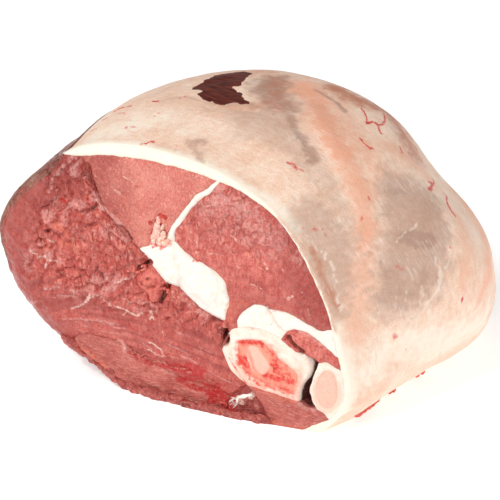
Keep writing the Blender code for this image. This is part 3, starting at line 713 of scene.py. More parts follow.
    Stroke(Layer.BLOOD, ((112.8, 34), (113.4, 28), (116, 23.6), (121, 20.6)), 1.6, 0.6, 0.6, True),
    Patch(Layer.BLOOD, ((124.1, 22.9), (127.2, 24.1), (130.4, 23.6), (134.3, 23.7),
                        (136.7, 22.5), (134.4, 21.5), (130.4, 21), (126.4, 21.3)), 1.7, 1.0, 0.7),
    Patch(Layer.BLOOD, ((130.3, 33.8), (135.1, 28.9), (138.2, 26.3), (141, 23.4), (138.3, 19.9),
                        (135.1, 21.3), (132, 25.7), (128.8, 30)), 3.0, 0.72, 1.0),
    Stroke(Layer.BLOOD, ((128, 36), (131, 32), (134, 27)), 2.2, 0.6, 0.8, True),
    Stroke(Layer.BLOOD, ((124, 19.6), (131, 18.6), (138, 18)), 1.8, 0.6, 0.8, True),
    Stroke(Layer.BLOOD, ((128.4, 29.5), (130.4, 27.8), (130, 26)), 1.0, 1.0),
    Stroke(Layer.DARK, ((129.8, 28.2), (129.8, 27)), 0.5, 0.6),
    Stroke(Layer.BLOOD, ((118.5, 19.8), (123.3, 18)), 0.9, 0.6),
    Stroke(Layer.BLOOD, ((134.4, 17), (139.1, 15.8)), 1.4, 0.45),
    Stroke(Layer.BLOOD, ((126.4, 37.5), (130.3, 32.5)), 1.8, 0.45),
    Patch(Layer.PALE, ((118.1, 35.6), (120.1, 36.9), (122.4, 36.1), (124.4, 33.2), (126.4, 31.1),
                       (128, 29), (127.6, 26.3), (125.6, 23.9), (123.3, 23.6), (121.3, 25.7),
                       (120.1, 28.8), (118.9, 31.9)), 1.1, 1.0, 0.4),
    Stroke(Layer.PALE, ((117.3, 32.6), (118.1, 29.4), (118.9, 26.1), (119.9, 23.6)), 0.5, 0.8),
    Stroke(Layer.BLOOD, ((108.3, 28.5), (110.7, 24.4), (113.1, 20.9), (115.9, 18.1)), 0.42, 0.75),
    Stroke(Layer.BLOOD, ((116.1, 17.8), (119.7, 15.8)), 0.4, 0.6),
    Patch(Layer.PALE, ((156, 31.4), (152.8, 28.6), (150.8, 24.9), (150.2, 20.5), (151.2, 16.2),
                       (152.6, 14), (154.9, 13), (157.2, 14.3), (158.8, 17.8), (159.6, 23.1),
                       (158.6, 27.9)), 1.4, 0.85, 0.6),
    Patch(Layer.PALE, ((156, 33.6), (151.6, 30), (148.8, 25.4), (148.2, 20.4), (149.2, 15.2),
                       (151.4, 12), (155, 11), (158.4, 12.8), (160.8, 17.4), (161.6, 23.2),
                       (160.4, 28.6), (158.4, 32)), 0.7, 0.9, 0.4),
    Stroke(Layer.SALMON, ((155.5, 31), (153.6, 28.6), (151.6, 25.6)), 1.2, 0.8),
    Stroke(Layer.BLOOD, ((139, 36.6), (141.4, 34.6), (143.4, 31)), 1.0, 0.3, 0.5, True),
    Stroke(Layer.SALMON, ((110, 33), (109.6, 27), (112, 21)), 1.2, 0.45, 0.6, True),
    Stroke(Layer.BLOOD, ((155.5, 17.3), (155.4, 15.5), (155, 13.9)), 0.75, 1.3),
    Stroke(Layer.SHEEN, ((140.7, 50.4), (145.7, 49), (150.4, 46.8), (154.6, 44)), 1.3, 1.0),
    # Grey-lilac membrane low in the gap between the bones.
    Stroke(Layer.SHEEN, ((142.6, 13), (145.4, 11.8), (149, 11.4)), 1.7, 0.9, 0.4, True),
    # Torn bloody fibres above the lowest muscle.
    Stroke(Layer.BLOOD, ((59, 19.8), (63.3, 18.5), (67.5, 18.8), (71.8, 18.3)), 0.8, 0.95),
    Patch(Layer.BLOOD, ((75.3, 16.1), (78.9, 18.5), (87.4, 21.2), (94.4, 22.1), (98.5, 18.6),
                        (95.7, 16.5), (90.1, 14.4), (85.8, 14.9), (80.2, 16.2)), 1.3, 0.72, 1.0),
    Stroke(Layer.BLOOD, ((76, 16.6), (82, 16.6), (87.4, 15.8)), 0.7, 1.0),
    Stroke(Layer.BLOOD, ((84, 18.4), (90, 18), (94, 16.6)), 0.6, 1.0),
    Stroke(Layer.BLOOD, ((87.2, 13), (92.8, 13.6), (96.4, 16)), 0.6, 0.9),
    Stroke(Layer.BLOOD, ((95.6, 12.7), (99.8, 11.5), (103.3, 13.8)), 0.5, 0.9),
    Stroke(Layer.BLOOD, ((96.3, 11.4), (101.2, 10.3), (104.7, 13.4)), 0.42, 0.8),
    Stroke(Layer.BLOOD, ((92.1, 8.1), (97.7, 8.7), (102.6, 10.7)), 0.55, 0.95),
    Stroke(Layer.BLOOD, ((98.3, 3.8), (105.3, 6.1), (112, 9.4)), 0.5, 0.75),
    Stroke(Layer.PALE, ((76.7, 14.6), (80.2, 15), (83, 13.5)), 1.0, 0.75),
    Stroke(Layer.SHEEN, ((56.3, 24.4), (57.6, 20.2)), 1.6, 0.7),
    Stroke(Layer.BLOOD, ((64, 17.6), (74, 16), (82, 14), (90, 12.6)), 1.5, 0.6, 0.8, True),
    Stroke(Layer.BLOOD, ((84, 11), (92, 9.6), (99, 10), (104, 9)), 1.6, 0.6, 0.8, True),
    Patch(Layer.BLOOD, ((97, 9), (103, 11), (110, 9.6), (113, 6), (112, 2), (105, 2.6), (99, 5)),
          1.6, 0.78, 0.8),
    Stroke(Layer.DARK, ((100, 3.4), (106, 3.2), (111, 3)), 0.9, 0.7, 0.4, True),
    # The knob is redder than its neighbours.
    Stroke(Layer.SALMON, ((69.6, 61), (71, 57), (73.2, 52)), 4.6, 0.45, 0.8, True),
    Stroke(Layer.SALMON, ((61, 66), (65, 62), (68, 58)), 2.6, 0.4, 0.8, True),
    # Redder tongue of meat between the two white fats.
    Patch(Layer.SALMON, ((106.2, 53.4), (108.6, 57.4), (114.2, 59.6), (119.5, 58), (115.4, 54),
                         (112.4, 50.4), (111, 46.7), (110.6, 44.6), (108.6, 44.6), (106.8, 47.6)),
          1.4, 0.55, 0.6),
    # Blood between the lobes of the gland.
    Patch(Layer.BLOOD, ((71.4, 77.6), (73.6, 88), (75.2, 92), (77, 88), (80.4, 83.6), (82.6, 80.6),
                        (78, 77.4)), 0.8, 0.62, 0.5),
    # White threads fanning into the flap.
    Stroke(Layer.PALE, ((109.8, 8.6), (106.4, 7.6)), 0.35, 0.8, 0.15),
    Stroke(Layer.PALE, ((109.8, 7.8), (105.4, 5.6)), 0.35, 0.8, 0.15),
    Stroke(Layer.PALE, ((110.2, 7.2), (106.6, 3.8)), 0.35, 0.8, 0.15),
    Stroke(Layer.PALE, ((110.8, 6.8), (108.4, 2.6)), 0.35, 0.8, 0.15),
    Stroke(Layer.PALE, ((111.6, 6.6), (110.4, 2.2)), 0.35, 0.7, 0.15),
)

# Grooves and swellings of the cut end.
CUT_RELIEF: tuple[Relief, ...] = (
    Relief(((42.5, 109.5), (43.5, 103.5), (45.5, 98)), 1.1, -1.6),
    Relief(((37, 108), (39.5, 101), (41, 94)), 3, 1.3),
    Relief(((45.5, 91), (40, 85.5)), 0.9, -1.2),
    Relief(((49.5, 86), (54, 80), (60, 73.5), (64, 70)), 3.6, 1.5),
    Relief(((58, 83), (62.5, 77)), 1, -1.2),
    Relief(((66, 64), (71, 68.5)), 1.3, -1.8),
    Relief(((70.2, 60.2), (69.6, 58.6)), 3.0, 1.2),
    Relief(((73.5, 53.6), (73, 50.4)), 3.0, 1.4),
    Relief(((66, 57), (69, 55.6), (73, 57)), 0.8, -1.4),
    Relief(((70.2, 60.2),), 0.9, -2),
    Relief(((79.4, 58.6), (78.4, 55.7), (76, 49)), 1.3, -2.3),
    Relief(((82.7, 55.6), (88, 52.8), (93.7, 49.5)), 2.3, 0.9),
    Relief(((20.5, 73.5),), 1.1, -1.4),
    Relief(((17, 70.5), (17, 68)), 0.8, -0.9),
    Relief(((46.5, 58.6), (48, 54.4)), 1.1, -1.2),
    Relief(((106.8, 35.3), (106.2, 41.4)), 1.6, -3.6),
    Relief(((100.2, 46), (104.4, 45.6)), 1.1, -1.3),
    Relief(((136.6, 45.4), (138.8, 41.9), (142.9, 39.4)), 1.2, -2.1),
    Relief(((84, 73.3), (87.2, 65.1), (85.2, 59.2)), 0.9, -0.8),
    Relief(((77.6, 74), (82, 66.4)), 3.6, 0.8),
    Relief(((92, 66.4), (100, 58.6)), 4.4, 1.1),
    Relief(((94.5, 76),), 2, 0.5),
    Relief(((127, 57.8), (130.3, 52), (133, 48.7)), 0.8, -0.9),
    Relief(((118, 50), (122, 53)), 3.4, 0.9),
    Relief(((24.5, 78), (32, 73), (36, 66.5)), 1, 0.35),
    Relief(((141, 36), (145, 35)), 3, 0.7),
    Relief(((139.6, 34), (142.4, 31.2), (143.2, 28)), 0.9, -0.7),
    Relief(((145.6, 27.6), (146.4, 23.6)), 1.5, 0.9),
    Relief(((144, 20.6), (146, 20.2)), 0.7, -0.8),
    Relief(((114, 39.6), (122, 42), (130, 41.4)), 1.0, 0.5),
    Relief(((126, 31), (128.8, 26.6), (126, 23.2)), 0.6, -0.35),
    Relief(((36, 17), (49.5, 8.5), (62, 4)), 1.3, 0.9),
    Relief(((35, 19), (53, 10.4), (71, 3.6)), 0.7, -0.6),
    Relief(((113.5, 9.3), (115.4, 6.8)), 1.6, 0.8),
    Relief(((119, 10.2), (120.4, 12)), 1.5, 0.7),
    Relief(((109, 3), (112, -1)), 3, 0.9),
    Relief(((76, 17.6), (90, 18)), 0.9, -0.5),
    Relief(((93, 9), (103, 11.4)), 0.7, -0.5),
)


def skin_line(*points: tuple[float, float]) -> tuple[tuple[float, float], ...]:
    """Points given as degrees round the leg and depth, in the skin's flat millimetres."""
    return tuple((degrees * SKIN_MM_PER_DEGREE, depth) for degrees, depth in points)


# Patches, vessels and threads of the skin, by degrees round the leg and depth.
SKIN_STROKES: tuple[Mark, ...] = (
    # Lean meat showing grey through thin skin.
    Patch(Layer.GREY, skin_line((98, 66), (93, 56), (87, 47), (80, 44), (72, 44), (72, 50),
                                 (78, 58), (84, 66), (92, 78)), 5.0, 0.95, 2.0),
    Patch(Layer.GREY, skin_line((94, 62), (88, 65), (73, 48), (65, 37), (56, 32), (48, 28),
                                (37, 26), (36, 20), (44, 19), (54, 20), (63, 20), (72, 19),
                                (80, 20), (87, 28), (88, 38), (84, 44)), 6.0, 0.5, 2.0),
    Stroke(Layer.GREY, skin_line((80, 52), (70, 41), (61, 33), (54, 28)), 3.4, 0.95, 1.2, True),
    # Painted shade, grey, along the fold over the muscles.
    Stroke(Layer.GREY, skin_line((112, 33), (107, 37), (102, 38), (98, 38), (94, 40)),
           1.6, 0.55, 0.8, True),
    Stroke(Layer.GREY, skin_line((96, 40), (88, 44), (82, 44), (74, 43), (69, 42)),
           2.6, 0.8, 1.0, True),
    Patch(Layer.GREY, skin_line((46, 13), (38, 18), (31, 20), (23, 19), (14, 13), (4, 6), (0, 1),
                                (8, -3), (18, -3), (28, -3), (38, 1), (46, 6)), 6.0, 0.66, 2.4),
    Stroke(Layer.GREY, skin_line((50, 26), (43, 23), (38, 21), (31, 18), (22, 13), (12, 7)),
           5.5, 0.5, 2.0, True),
    Patch(Layer.GREY, skin_line((41, 46), (36, 56), (28, 68), (20, 65), (12, 54), (4, 44), (0, 35),
                                (-2, 26), (-2, 16), (2, 12), (10, 14), (17, 20), (23, 28),
                                (31, 34)), 7.5, 0.76, 3.0),
    Patch(Layer.GREY, skin_line((37, 44), (34, 49), (28, 53), (28, 45), (32, 40)), 4.0, 0.92, 1.6),
    Patch(Layer.GREY, skin_line((21, 33), (21, 40), (18, 48), (14, 48), (13, 41), (17, 34)),
          2.0, 1.0, 1.0),
    Stroke(Layer.GREY, skin_line((10, 38), (5, 34), (4, 28), (6, 22)), 4.4, 0.85, 1.6, True),
    Stroke(Layer.GREY, skin_line((78, 71), (73, 70), (68, 68), (64, 66)), 1.5, 0.9, 0.6, True),
    Stroke(Layer.GREY, skin_line((116, 40), (108, 34), (100, 34), (92, 38)), 8.0, 0.22, 2.0, True),
    Stroke(Layer.GREY, skin_line((90, 11), (86, 12)), 2.6, 0.7, 1.6, True),
    Stroke(Layer.GREY, skin_line((88, 9), (83, 5), (79, 3)), 2.2, 0.6, 1.4, True),
    Stroke(Layer.BROWN, skin_line((29, 3.4), (24, 2.6), (17, 1.8), (10, 1.8), (5, 2.6)),
           1.5, 0.75, 0.5, True),
    # Thicker fat, warm in colour.
    Stroke(Layer.PEACH, skin_line((84, 72), (77, 66), (70, 58), (62, 48), (55, 42), (50, 38)),
           8.6, 1.0, 2.0, True),
    Stroke(Layer.PEACH, skin_line((50, 38), (42, 34), (36, 31), (29, 26), (22, 21)),
           6.4, 0.85, 1.5, True),
    Stroke(Layer.PEACH, skin_line((22, 21), (15, 15), (8, 10), (0, 7), (-6, 5)),
           6.0, 0.65, 1.5, True),
    Stroke(Layer.PEACH, skin_line((70, 66), (60, 58), (50, 50), (42, 44)), 8.0, 0.6, 2.0, True),
    Stroke(Layer.PEACH, skin_line((46, 62), (38, 68), (30, 76)), 7.0, 0.6, 2.0, True),
    Stroke(Layer.PEACH, skin_line((93, 28), (91, 30), (89, 33)), 3.0, 0.5, 1.4, True),
    Stroke(Layer.PEACH, skin_line((18, 70), (10, 62), (2, 52)), 6.0, 0.6, 2.0, True),
    Stroke(Layer.PEACH, skin_line((18, 104), (10, 100), (4, 90), (0, 80), (-4, 68)),
           9.0, 0.85, 2.5, True),
    Stroke(Layer.PEACH, skin_line((-26, 3), (-26, 6), (-22, 5)), 1.0, 0.6, 0.6, True),
    Stroke(Layer.PEACH, skin_line((-14, 14), (-16, 20), (-19, 22)), 0.9, 0.45, 0.6, True),
    Stroke(Layer.PEACH, skin_line((-18, 46), (-24, 54)), 1.0, 0.45, 0.6, True),
    # Painted shade, brown, where the skin turns away from the light towards the back.
    Stroke(Layer.BROWN, skin_line((76, 82), (70, 81), (66, 84), (62, 90)), 8.0, 1.0, 2.0, True),
    Stroke(Layer.BROWN, skin_line((66, 100), (56, 94), (48, 86), (40, 80)), 9.5, 0.95, 2.0, True),
    Stroke(Layer.BROWN, skin_line((84, 44), (90, 40), (96, 38)), 3.0, 0.5, 1.4, True),
    Stroke(Layer.BROWN, skin_line((92, 72), (86, 58), (78, 48)), 8.0, 0.55, 2.0, True),
    Stroke(Layer.BROWN, skin_line((104, 70), (98, 84), (88, 94)), 9.0, 0.5, 2.0, True),
    # Bright thick fat.
    Stroke(Layer.CREAM, skin_line((124, 6), (117, 10), (110, 14), (104, 20)), 7.0, 0.7, 2.5, True),
    Stroke(Layer.CREAM, skin_line((96, 13), (92, 18)), 3.4, 0.5, 1.8, True),
    Stroke(Layer.CREAM, skin_line((54, 1.6), (47, 2), (41, 2.6), (36, 2.6)), 2.8, 1.0, 0.7, True),
    Stroke(Layer.CREAM, skin_line((60, 76), (54, 80), (48, 78)), 3.0, 0.5, 1.4, True),
    Stroke(Layer.CREAM, skin_line((-10, 17), (-13, 12), (-16, 8)), 7.0, 0.9, 2.0, True),
    Stroke(Layer.CREAM, skin_line((-10, 26), (-14, 42), (-14, 58), (-16, 74)), 12.0, 0.8, 3.0, True),
    Stroke(Layer.CREAM, skin_line((0, 0.5), (-8, 0.5), (-16, 0.5), (-22, 0.5), (-28, 0.5)),
           2.8, 1.0, 0.5, True),
    Stroke(Layer.CREAM, skin_line((134, 1), (110, 0.5), (90, 0.5), (74, 0.5), (62, 0.5), (52, 0.5)),
           2.2, 1.0, 0.6, True),
    # Skin torn away from the dark meat beneath.
    Patch(Layer.MAROON, skin_line((108, 48), (109, 56), (110, 64), (108, 71), (104, 74), (101, 71),
                                  (100, 64), (97, 57), (99, 54), (96, 52), (93, 50), (92, 47),
                                  (89, 46), (87, 44.5), (92, 43), (94, 40), (97, 39), (100, 39),
                                  (104, 41), (103, 44), (106, 45.5)), 0.9, 1.0, 0.7),
    # Whitish threads and edges of membrane.
    Stroke(Layer.WEB, skin_line((97, 50), (94, 56), (97, 64)), 4.4, 0.55, 1.6, True),
    Stroke(Layer.WEB, skin_line((19, 31), (20.6, 36), (20.8, 41), (21, 46)), 0.7, 0.7, 0.9),
    Stroke(Layer.WEB, skin_line((12, 44), (10, 42), (8, 43), (8, 46), (10, 50)), 0.65, 0.8, 0.8),
    Stroke(Layer.WEB, skin_line((8, 46), (7, 43), (5, 42), (1, 37), (-1, 34), (-4, 35), (-8, 36)),
           0.8, 0.9, 0.8),
    Stroke(Layer.WEB, skin_line((27, 5), (22, 6), (18, 6), (14, 5), (10, 4), (4, 3)), 0.6, 0.9, 0.6),
    Stroke(Layer.WEB, skin_line((32, 3), (30, 4), (26, 5.6)), 0.6, 0.6, 0.6),
    Stroke(Layer.WEB, skin_line((24, 16), (22, 16), (18, 16.6)), 0.5, 0.65, 0.6),
    Stroke(Layer.WEB, skin_line((5, 27), (2, 26)), 0.6, 0.7, 0.6),
    Stroke(Layer.WEB, skin_line((5, 23), (0, 21)), 0.5, 0.6, 0.6),
    Stroke(Layer.WEB, skin_line((5, 34), (1, 32), (-2, 33)), 0.6, 0.7, 0.8),
    Stroke(Layer.WEB, skin_line((-4, 35), (-6, 36), (-10, 34)), 0.6, 0.6, 0.8),
    Stroke(Layer.WEB, skin_line((62, 36), (58, 33), (52, 30)), 0.5, 0.5, 0.8),
    # Small blood vessels.
    Stroke(Layer.VEIN, skin_line((63, 76), (61, 74), (58, 70), (56, 65)), 0.55, 0.7, 0.5),
    Stroke(Layer.VEIN, skin_line((56, 65), (56, 70), (54, 71), (54, 76), (56, 82), (58, 86)),
           0.75, 0.95, 0.5),
    Stroke(Layer.VEIN, skin_line((54, 71), (52, 68), (50, 67)), 0.55, 0.75, 0.5),
    Stroke(Layer.VEIN, skin_line((52, 53), (50, 52), (48, 52), (47, 53)), 0.75, 0.85, 0.4),
    Stroke(Layer.VEIN, skin_line((44, 70), (42, 68), (42, 65)), 0.7, 1.0, 0.4),
    Stroke(Layer.VEIN, skin_line((46, 80), (44, 77), (42, 78), (40, 69)), 0.5, 0.5, 0.6),
    Stroke(Layer.VEIN, skin_line((29, 81), (28, 80), (28, 73), (28, 65)), 0.8, 1.0, 0.5),
    Stroke(Layer.VEIN, skin_line((30, 70), (28, 75)), 0.7, 1.0, 0.5),
    Stroke(Layer.VEIN, skin_line((24, 80), (22, 80), (22, 75), (20, 70), (18, 69)), 0.8, 1.0, 0.5),
    Stroke(Layer.VEIN, skin_line((58, 20), (56, 20), (53, 20)), 0.8, 0.7, 0.4),
    Stroke(Layer.VEIN, skin_line((34, 7), (33.6, 7.4)), 1.0, 0.7, 0.4),
    Stroke(Layer.VEIN, skin_line((34, 7), (32, 10), (30, 10)), 0.4, 0.5, 0.5),
    Stroke(Layer.VEIN, skin_line((36, 4.4), (35.2, 4.8)), 0.7, 0.5, 0.4),
    Stroke(Layer.VEIN, skin_line((34.4, 32), (33.8, 33)), 0.8, 0.6, 0.4),
    Stroke(Layer.VEIN, skin_line((30, 25), (29, 24)), 0.7, 0.5, 0.4),
    Stroke(Layer.VEIN, skin_line((50, 38),), 0.6, 0.6, 0.3),
    Stroke(Layer.VEIN, skin_line((12, 28), (11.4, 28.4)), 1.2, 0.45, 0.6),
    Stroke(Layer.VEIN, skin_line((12, 52),), 0.6, 0.6, 0.3),
    Stroke(Layer.VEIN, skin_line((-2, 51), (-3, 51)), 0.9, 0.85, 0.4),
    Stroke(Layer.VEIN, skin_line((-3, 20),), 0.6, 0.7, 0.3),
    Stroke(Layer.VEIN, skin_line((-6.6, 20), (-7.6, 20)), 1.1, 0.65, 0.5),
    Stroke(Layer.VEIN, skin_line((-12, 25),), 0.7, 0.6, 0.4),
    Stroke(Layer.VEIN, skin_line((-20, 57),), 0.6, 0.6, 0.3),
    Stroke(Layer.VEIN, skin_line((-18, 28),), 0.8, 0.4, 0.4),
    Stroke(Layer.VEIN, skin_line((-2, 69),), 0.9, 0.4, 0.4),
    Stroke(Layer.VEIN, skin_line((126, 26), (124, 28), (122, 28), (120, 28)), 0.8, 0.9, 0.7),
    Stroke(Layer.VEIN, skin_line((122, 22), (119.6, 22)), 0.7, 0.7, 0.6),
    Stroke(Layer.VEIN, skin_line((128, 22), (126, 22)), 0.8, 0.7, 0.6),
    Stroke(Layer.VEIN, skin_line((114, 31), (112, 32)), 0.8, 0.85, 0.5),
    Stroke(Layer.VEIN, skin_line((107, 36), (105.8, 38)), 0.9, 0.6, 0.5),
    Stroke(Layer.VEIN, skin_line((108, 22), (107.4, 22)), 0.8, 0.55, 0.4),
    Stroke(Layer.VEIN, skin_line((108, 20),), 0.6, 0.45, 0.4),
    Stroke(Layer.VEIN, skin_line((130, 15), (127, 14)), 0.7, 0.6, 0.5),
    Stroke(Layer.VEIN, skin_line((114, 11), (111, 12)), 0.7, 0.6, 0.5),
    Stroke(Layer.VEIN, skin_line((103, 1.4), (101, 2.4), (100.6, 4), (99.6, 4)), 0.7, 0.8, 0.6),
    Stroke(Layer.VEIN, skin_line((90, 1.6), (91, 4), (92, 6)), 0.6, 0.35, 0.5),
)

# Swellings and hollows of the skin over the muscles beneath.
SKIN_RELIEF: tuple[Relief, ...] = (
    Relief(skin_line((96, 36), (84, 41), (74, 41), (62, 34), (52, 26), (42, 22)), 4.5, -1.3, 1.0),
    Relief(skin_line((92, 26), (76, 26), (60, 18), (44, 11)), 8.0, 1.0, 1.0),
    Relief(skin_line((70, 53), (52, 38), (34, 28), (18, 20), (6, 13)), 5.0, 0.9, 1.0),
    Relief(skin_line((40, 40), (26, 34), (12, 28)), 4.0, -0.7, 1.0),
    Relief(skin_line((24, 46), (12, 44)), 9.0, 0.8, 1.0),
    Relief(skin_line((12, 52), (2, 44), (-6, 32)), 2.0, 0.4, 0.8),
    Relief(skin_line((108, 50), (104, 60), (100, 52), (94, 45)), 4.0, -0.7, 1.0),
    Relief(skin_line((44, 72), (34, 70), (26, 72)), 3.0, -0.8, 1.0),
    Relief(skin_line((6, 8), (-4, 12), (-14, 20)), 4.0, -0.6, 1.0),
)


# ------------------------------------------------------------------ pieces
class Finish(str, Enum):
    """The materials of the leg."""

    DARK_MEAT = "dark_meat"
    PINK_MEAT = "pink_meat"
    RED_MEAT = "red_meat"
    SKIN = "skin"
    FAT = "fat"
    BONE = "bone"
    SPONGY = "spongy"
    GLAND = "gland"
    TISSUE = "tissue"


@dataclass(frozen=True)
class Piece:
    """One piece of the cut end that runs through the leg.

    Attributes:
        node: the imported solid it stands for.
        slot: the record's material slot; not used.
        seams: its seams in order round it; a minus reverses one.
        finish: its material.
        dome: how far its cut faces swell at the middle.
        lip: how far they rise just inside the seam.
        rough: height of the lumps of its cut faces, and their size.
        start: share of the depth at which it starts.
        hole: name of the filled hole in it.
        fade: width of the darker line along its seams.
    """

    node: str
    slot: str
    seams: tuple[str, ...]
    finish: Finish
    dome: float
    lip: float
    rough: tuple[float, float]
    start: float = 0.0
    hole: str = ""
    fade: float = 0.8


HOLES: dict[str, Points] = {
    "bone_middle": ((112.6, 32.0), (113.4, 36.8), (117.0, 39.6), (122.0, 40.0), (126.2, 37.8),
                    (131.0, 33.6), (136.6, 30.6), (140.6, 27.4), (140.4, 22.8), (138.0, 18.8),
                    (132.4, 18.2), (125.0, 19.4), (118.4, 21.6), (114.0, 26.0)),
    "small_bone_middle": ((150.0, 22.4), (150.8, 27.4), (153.0, 31.6), (156.6, 31.8),
                          (159.2, 27.6), (159.8, 22.0), (158.6, 16.6), (155.4, 13.4),
                          (152.0, 14.8), (150.2, 18.4)),
}

PIECES: tuple[Piece, ...] = (
    Piece("fat_cover", "fat", ("-skin", "fat_edge", "fat_top", "fat_fascia", "fat_right",
                               "fat_joint", "fat_small_muscle", "fat_small_bone", "fat_foot"),
          Finish.SKIN, 0.2, 0.5, (0.25, 3.0), fade=0.5),
    Piece("left_muscle", "meat", ("fat_edge", "groove", "seam_fat_left", "knob", "seam_fat_low",
                                  "joint_left", "-bone_left", "flap_left", "-band_top",
                                  "bare_left"),
          Finish.DARK_MEAT, 0.6, 0.7, (0.55, 3.2)),
    Piece("lower_band_muscle", "meat", ("band_top", "flap_band", "foot_band"),
          Finish.RED_MEAT, 0.5, 0.6, (0.30, 3.4)),
    Piece("top_muscle", "meat", ("fat_top", "fascia_left", "-gland", "-tip", "-groove"),
          Finish.PINK_MEAT, 0.5, 0.5, (0.22, 3.0)),
    Piece("right_muscle", "meat", ("fat_right", "-joint_top", "-tongue", "-tongue_foot", "-joint_left",
                                   "-fat_meet", "-seam_fat_top", "-fascia_right"),
          Finish.DARK_MEAT, 0.7, 0.6, (0.32, 3.0)),
    Piece("seam_fat", "fat", ("fat_fascia", "fascia_right", "seam_fat_top", "fat_meet",
                              "-seam_fat_low", "-knob_fat", "-seam_fat_left", "tip",
                              "gland_foot", "-fascia_left"),
          Finish.FAT, 1.3, 0.8, (0.5, 4.2), fade=0.9),
    Piece("gland", "gland", ("gland", "-gland_foot"), Finish.GLAND, 0.0, 0.2, (0.3, 1.6)),
    Piece("centre_muscle", "meat", ("knob", "-knob_fat"), Finish.DARK_MEAT, 0.7, 0.7, (0.35, 2.4)),
    Piece("joint_fat", "fat", ("joint_top", "fat_joint", "-joint_low", "-bone_top", "tongue"),
          Finish.FAT, 0.5, 0.6, (0.30, 2.4), fade=0.7),
    Piece("bone", "bone", ("tongue_foot", "bone_top", "bone_muscle", "bone_gap", "bone_foot",
                           "bone_left"),
          Finish.BONE, 0.1, 0.5, (0.12, 2.4), hole="bone_middle", fade=0.5),
    Piece("small_muscle", "meat", ("joint_low", "fat_small_muscle", "-small_bone_top",
                                   "-small_muscle_gap", "-bone_muscle"),
          Finish.DARK_MEAT, 0.5, 0.7, (0.25, 2.2)),
    Piece("small_bone", "bone", ("small_bone_top", "fat_small_bone", "-small_bone_foot",
                                 "-small_bone_gap"),
          Finish.BONE, 0.1, 0.5, (0.10, 2.0), hole="small_bone_middle", fade=0.5),
    Piece("lower_muscle", "meat", ("small_bone_foot", "fat_foot", "foot_lower", "-lower_flap",
                                   "-bone_foot", "gap_foot"),
          Finish.RED_MEAT, 0.4, 0.6, (0.25, 2.6)),
    Piece("flap_muscle", "meat", ("lower_flap", "foot_flap", "-flap_band", "-flap_left"),
          Finish.RED_MEAT, 0.4, 0.6, (0.45, 2.6)),
    Piece("joint_tissue", "tissue", ("small_muscle_gap", "small_bone_gap", "-gap_foot",
                                     "-bone_gap"),
          Finish.TISSUE, 0.0, 0.3, (0.4, 2.0), start=0.09),
)


@dataclass
class Surface:
    """A piece's mesh before it becomes an object: vertices, faces and point layers."""

    verts: Array
    faces: list[tuple[int, ...]]
    layers: dict[str, Array]
    sheet: Array
    outside: Array


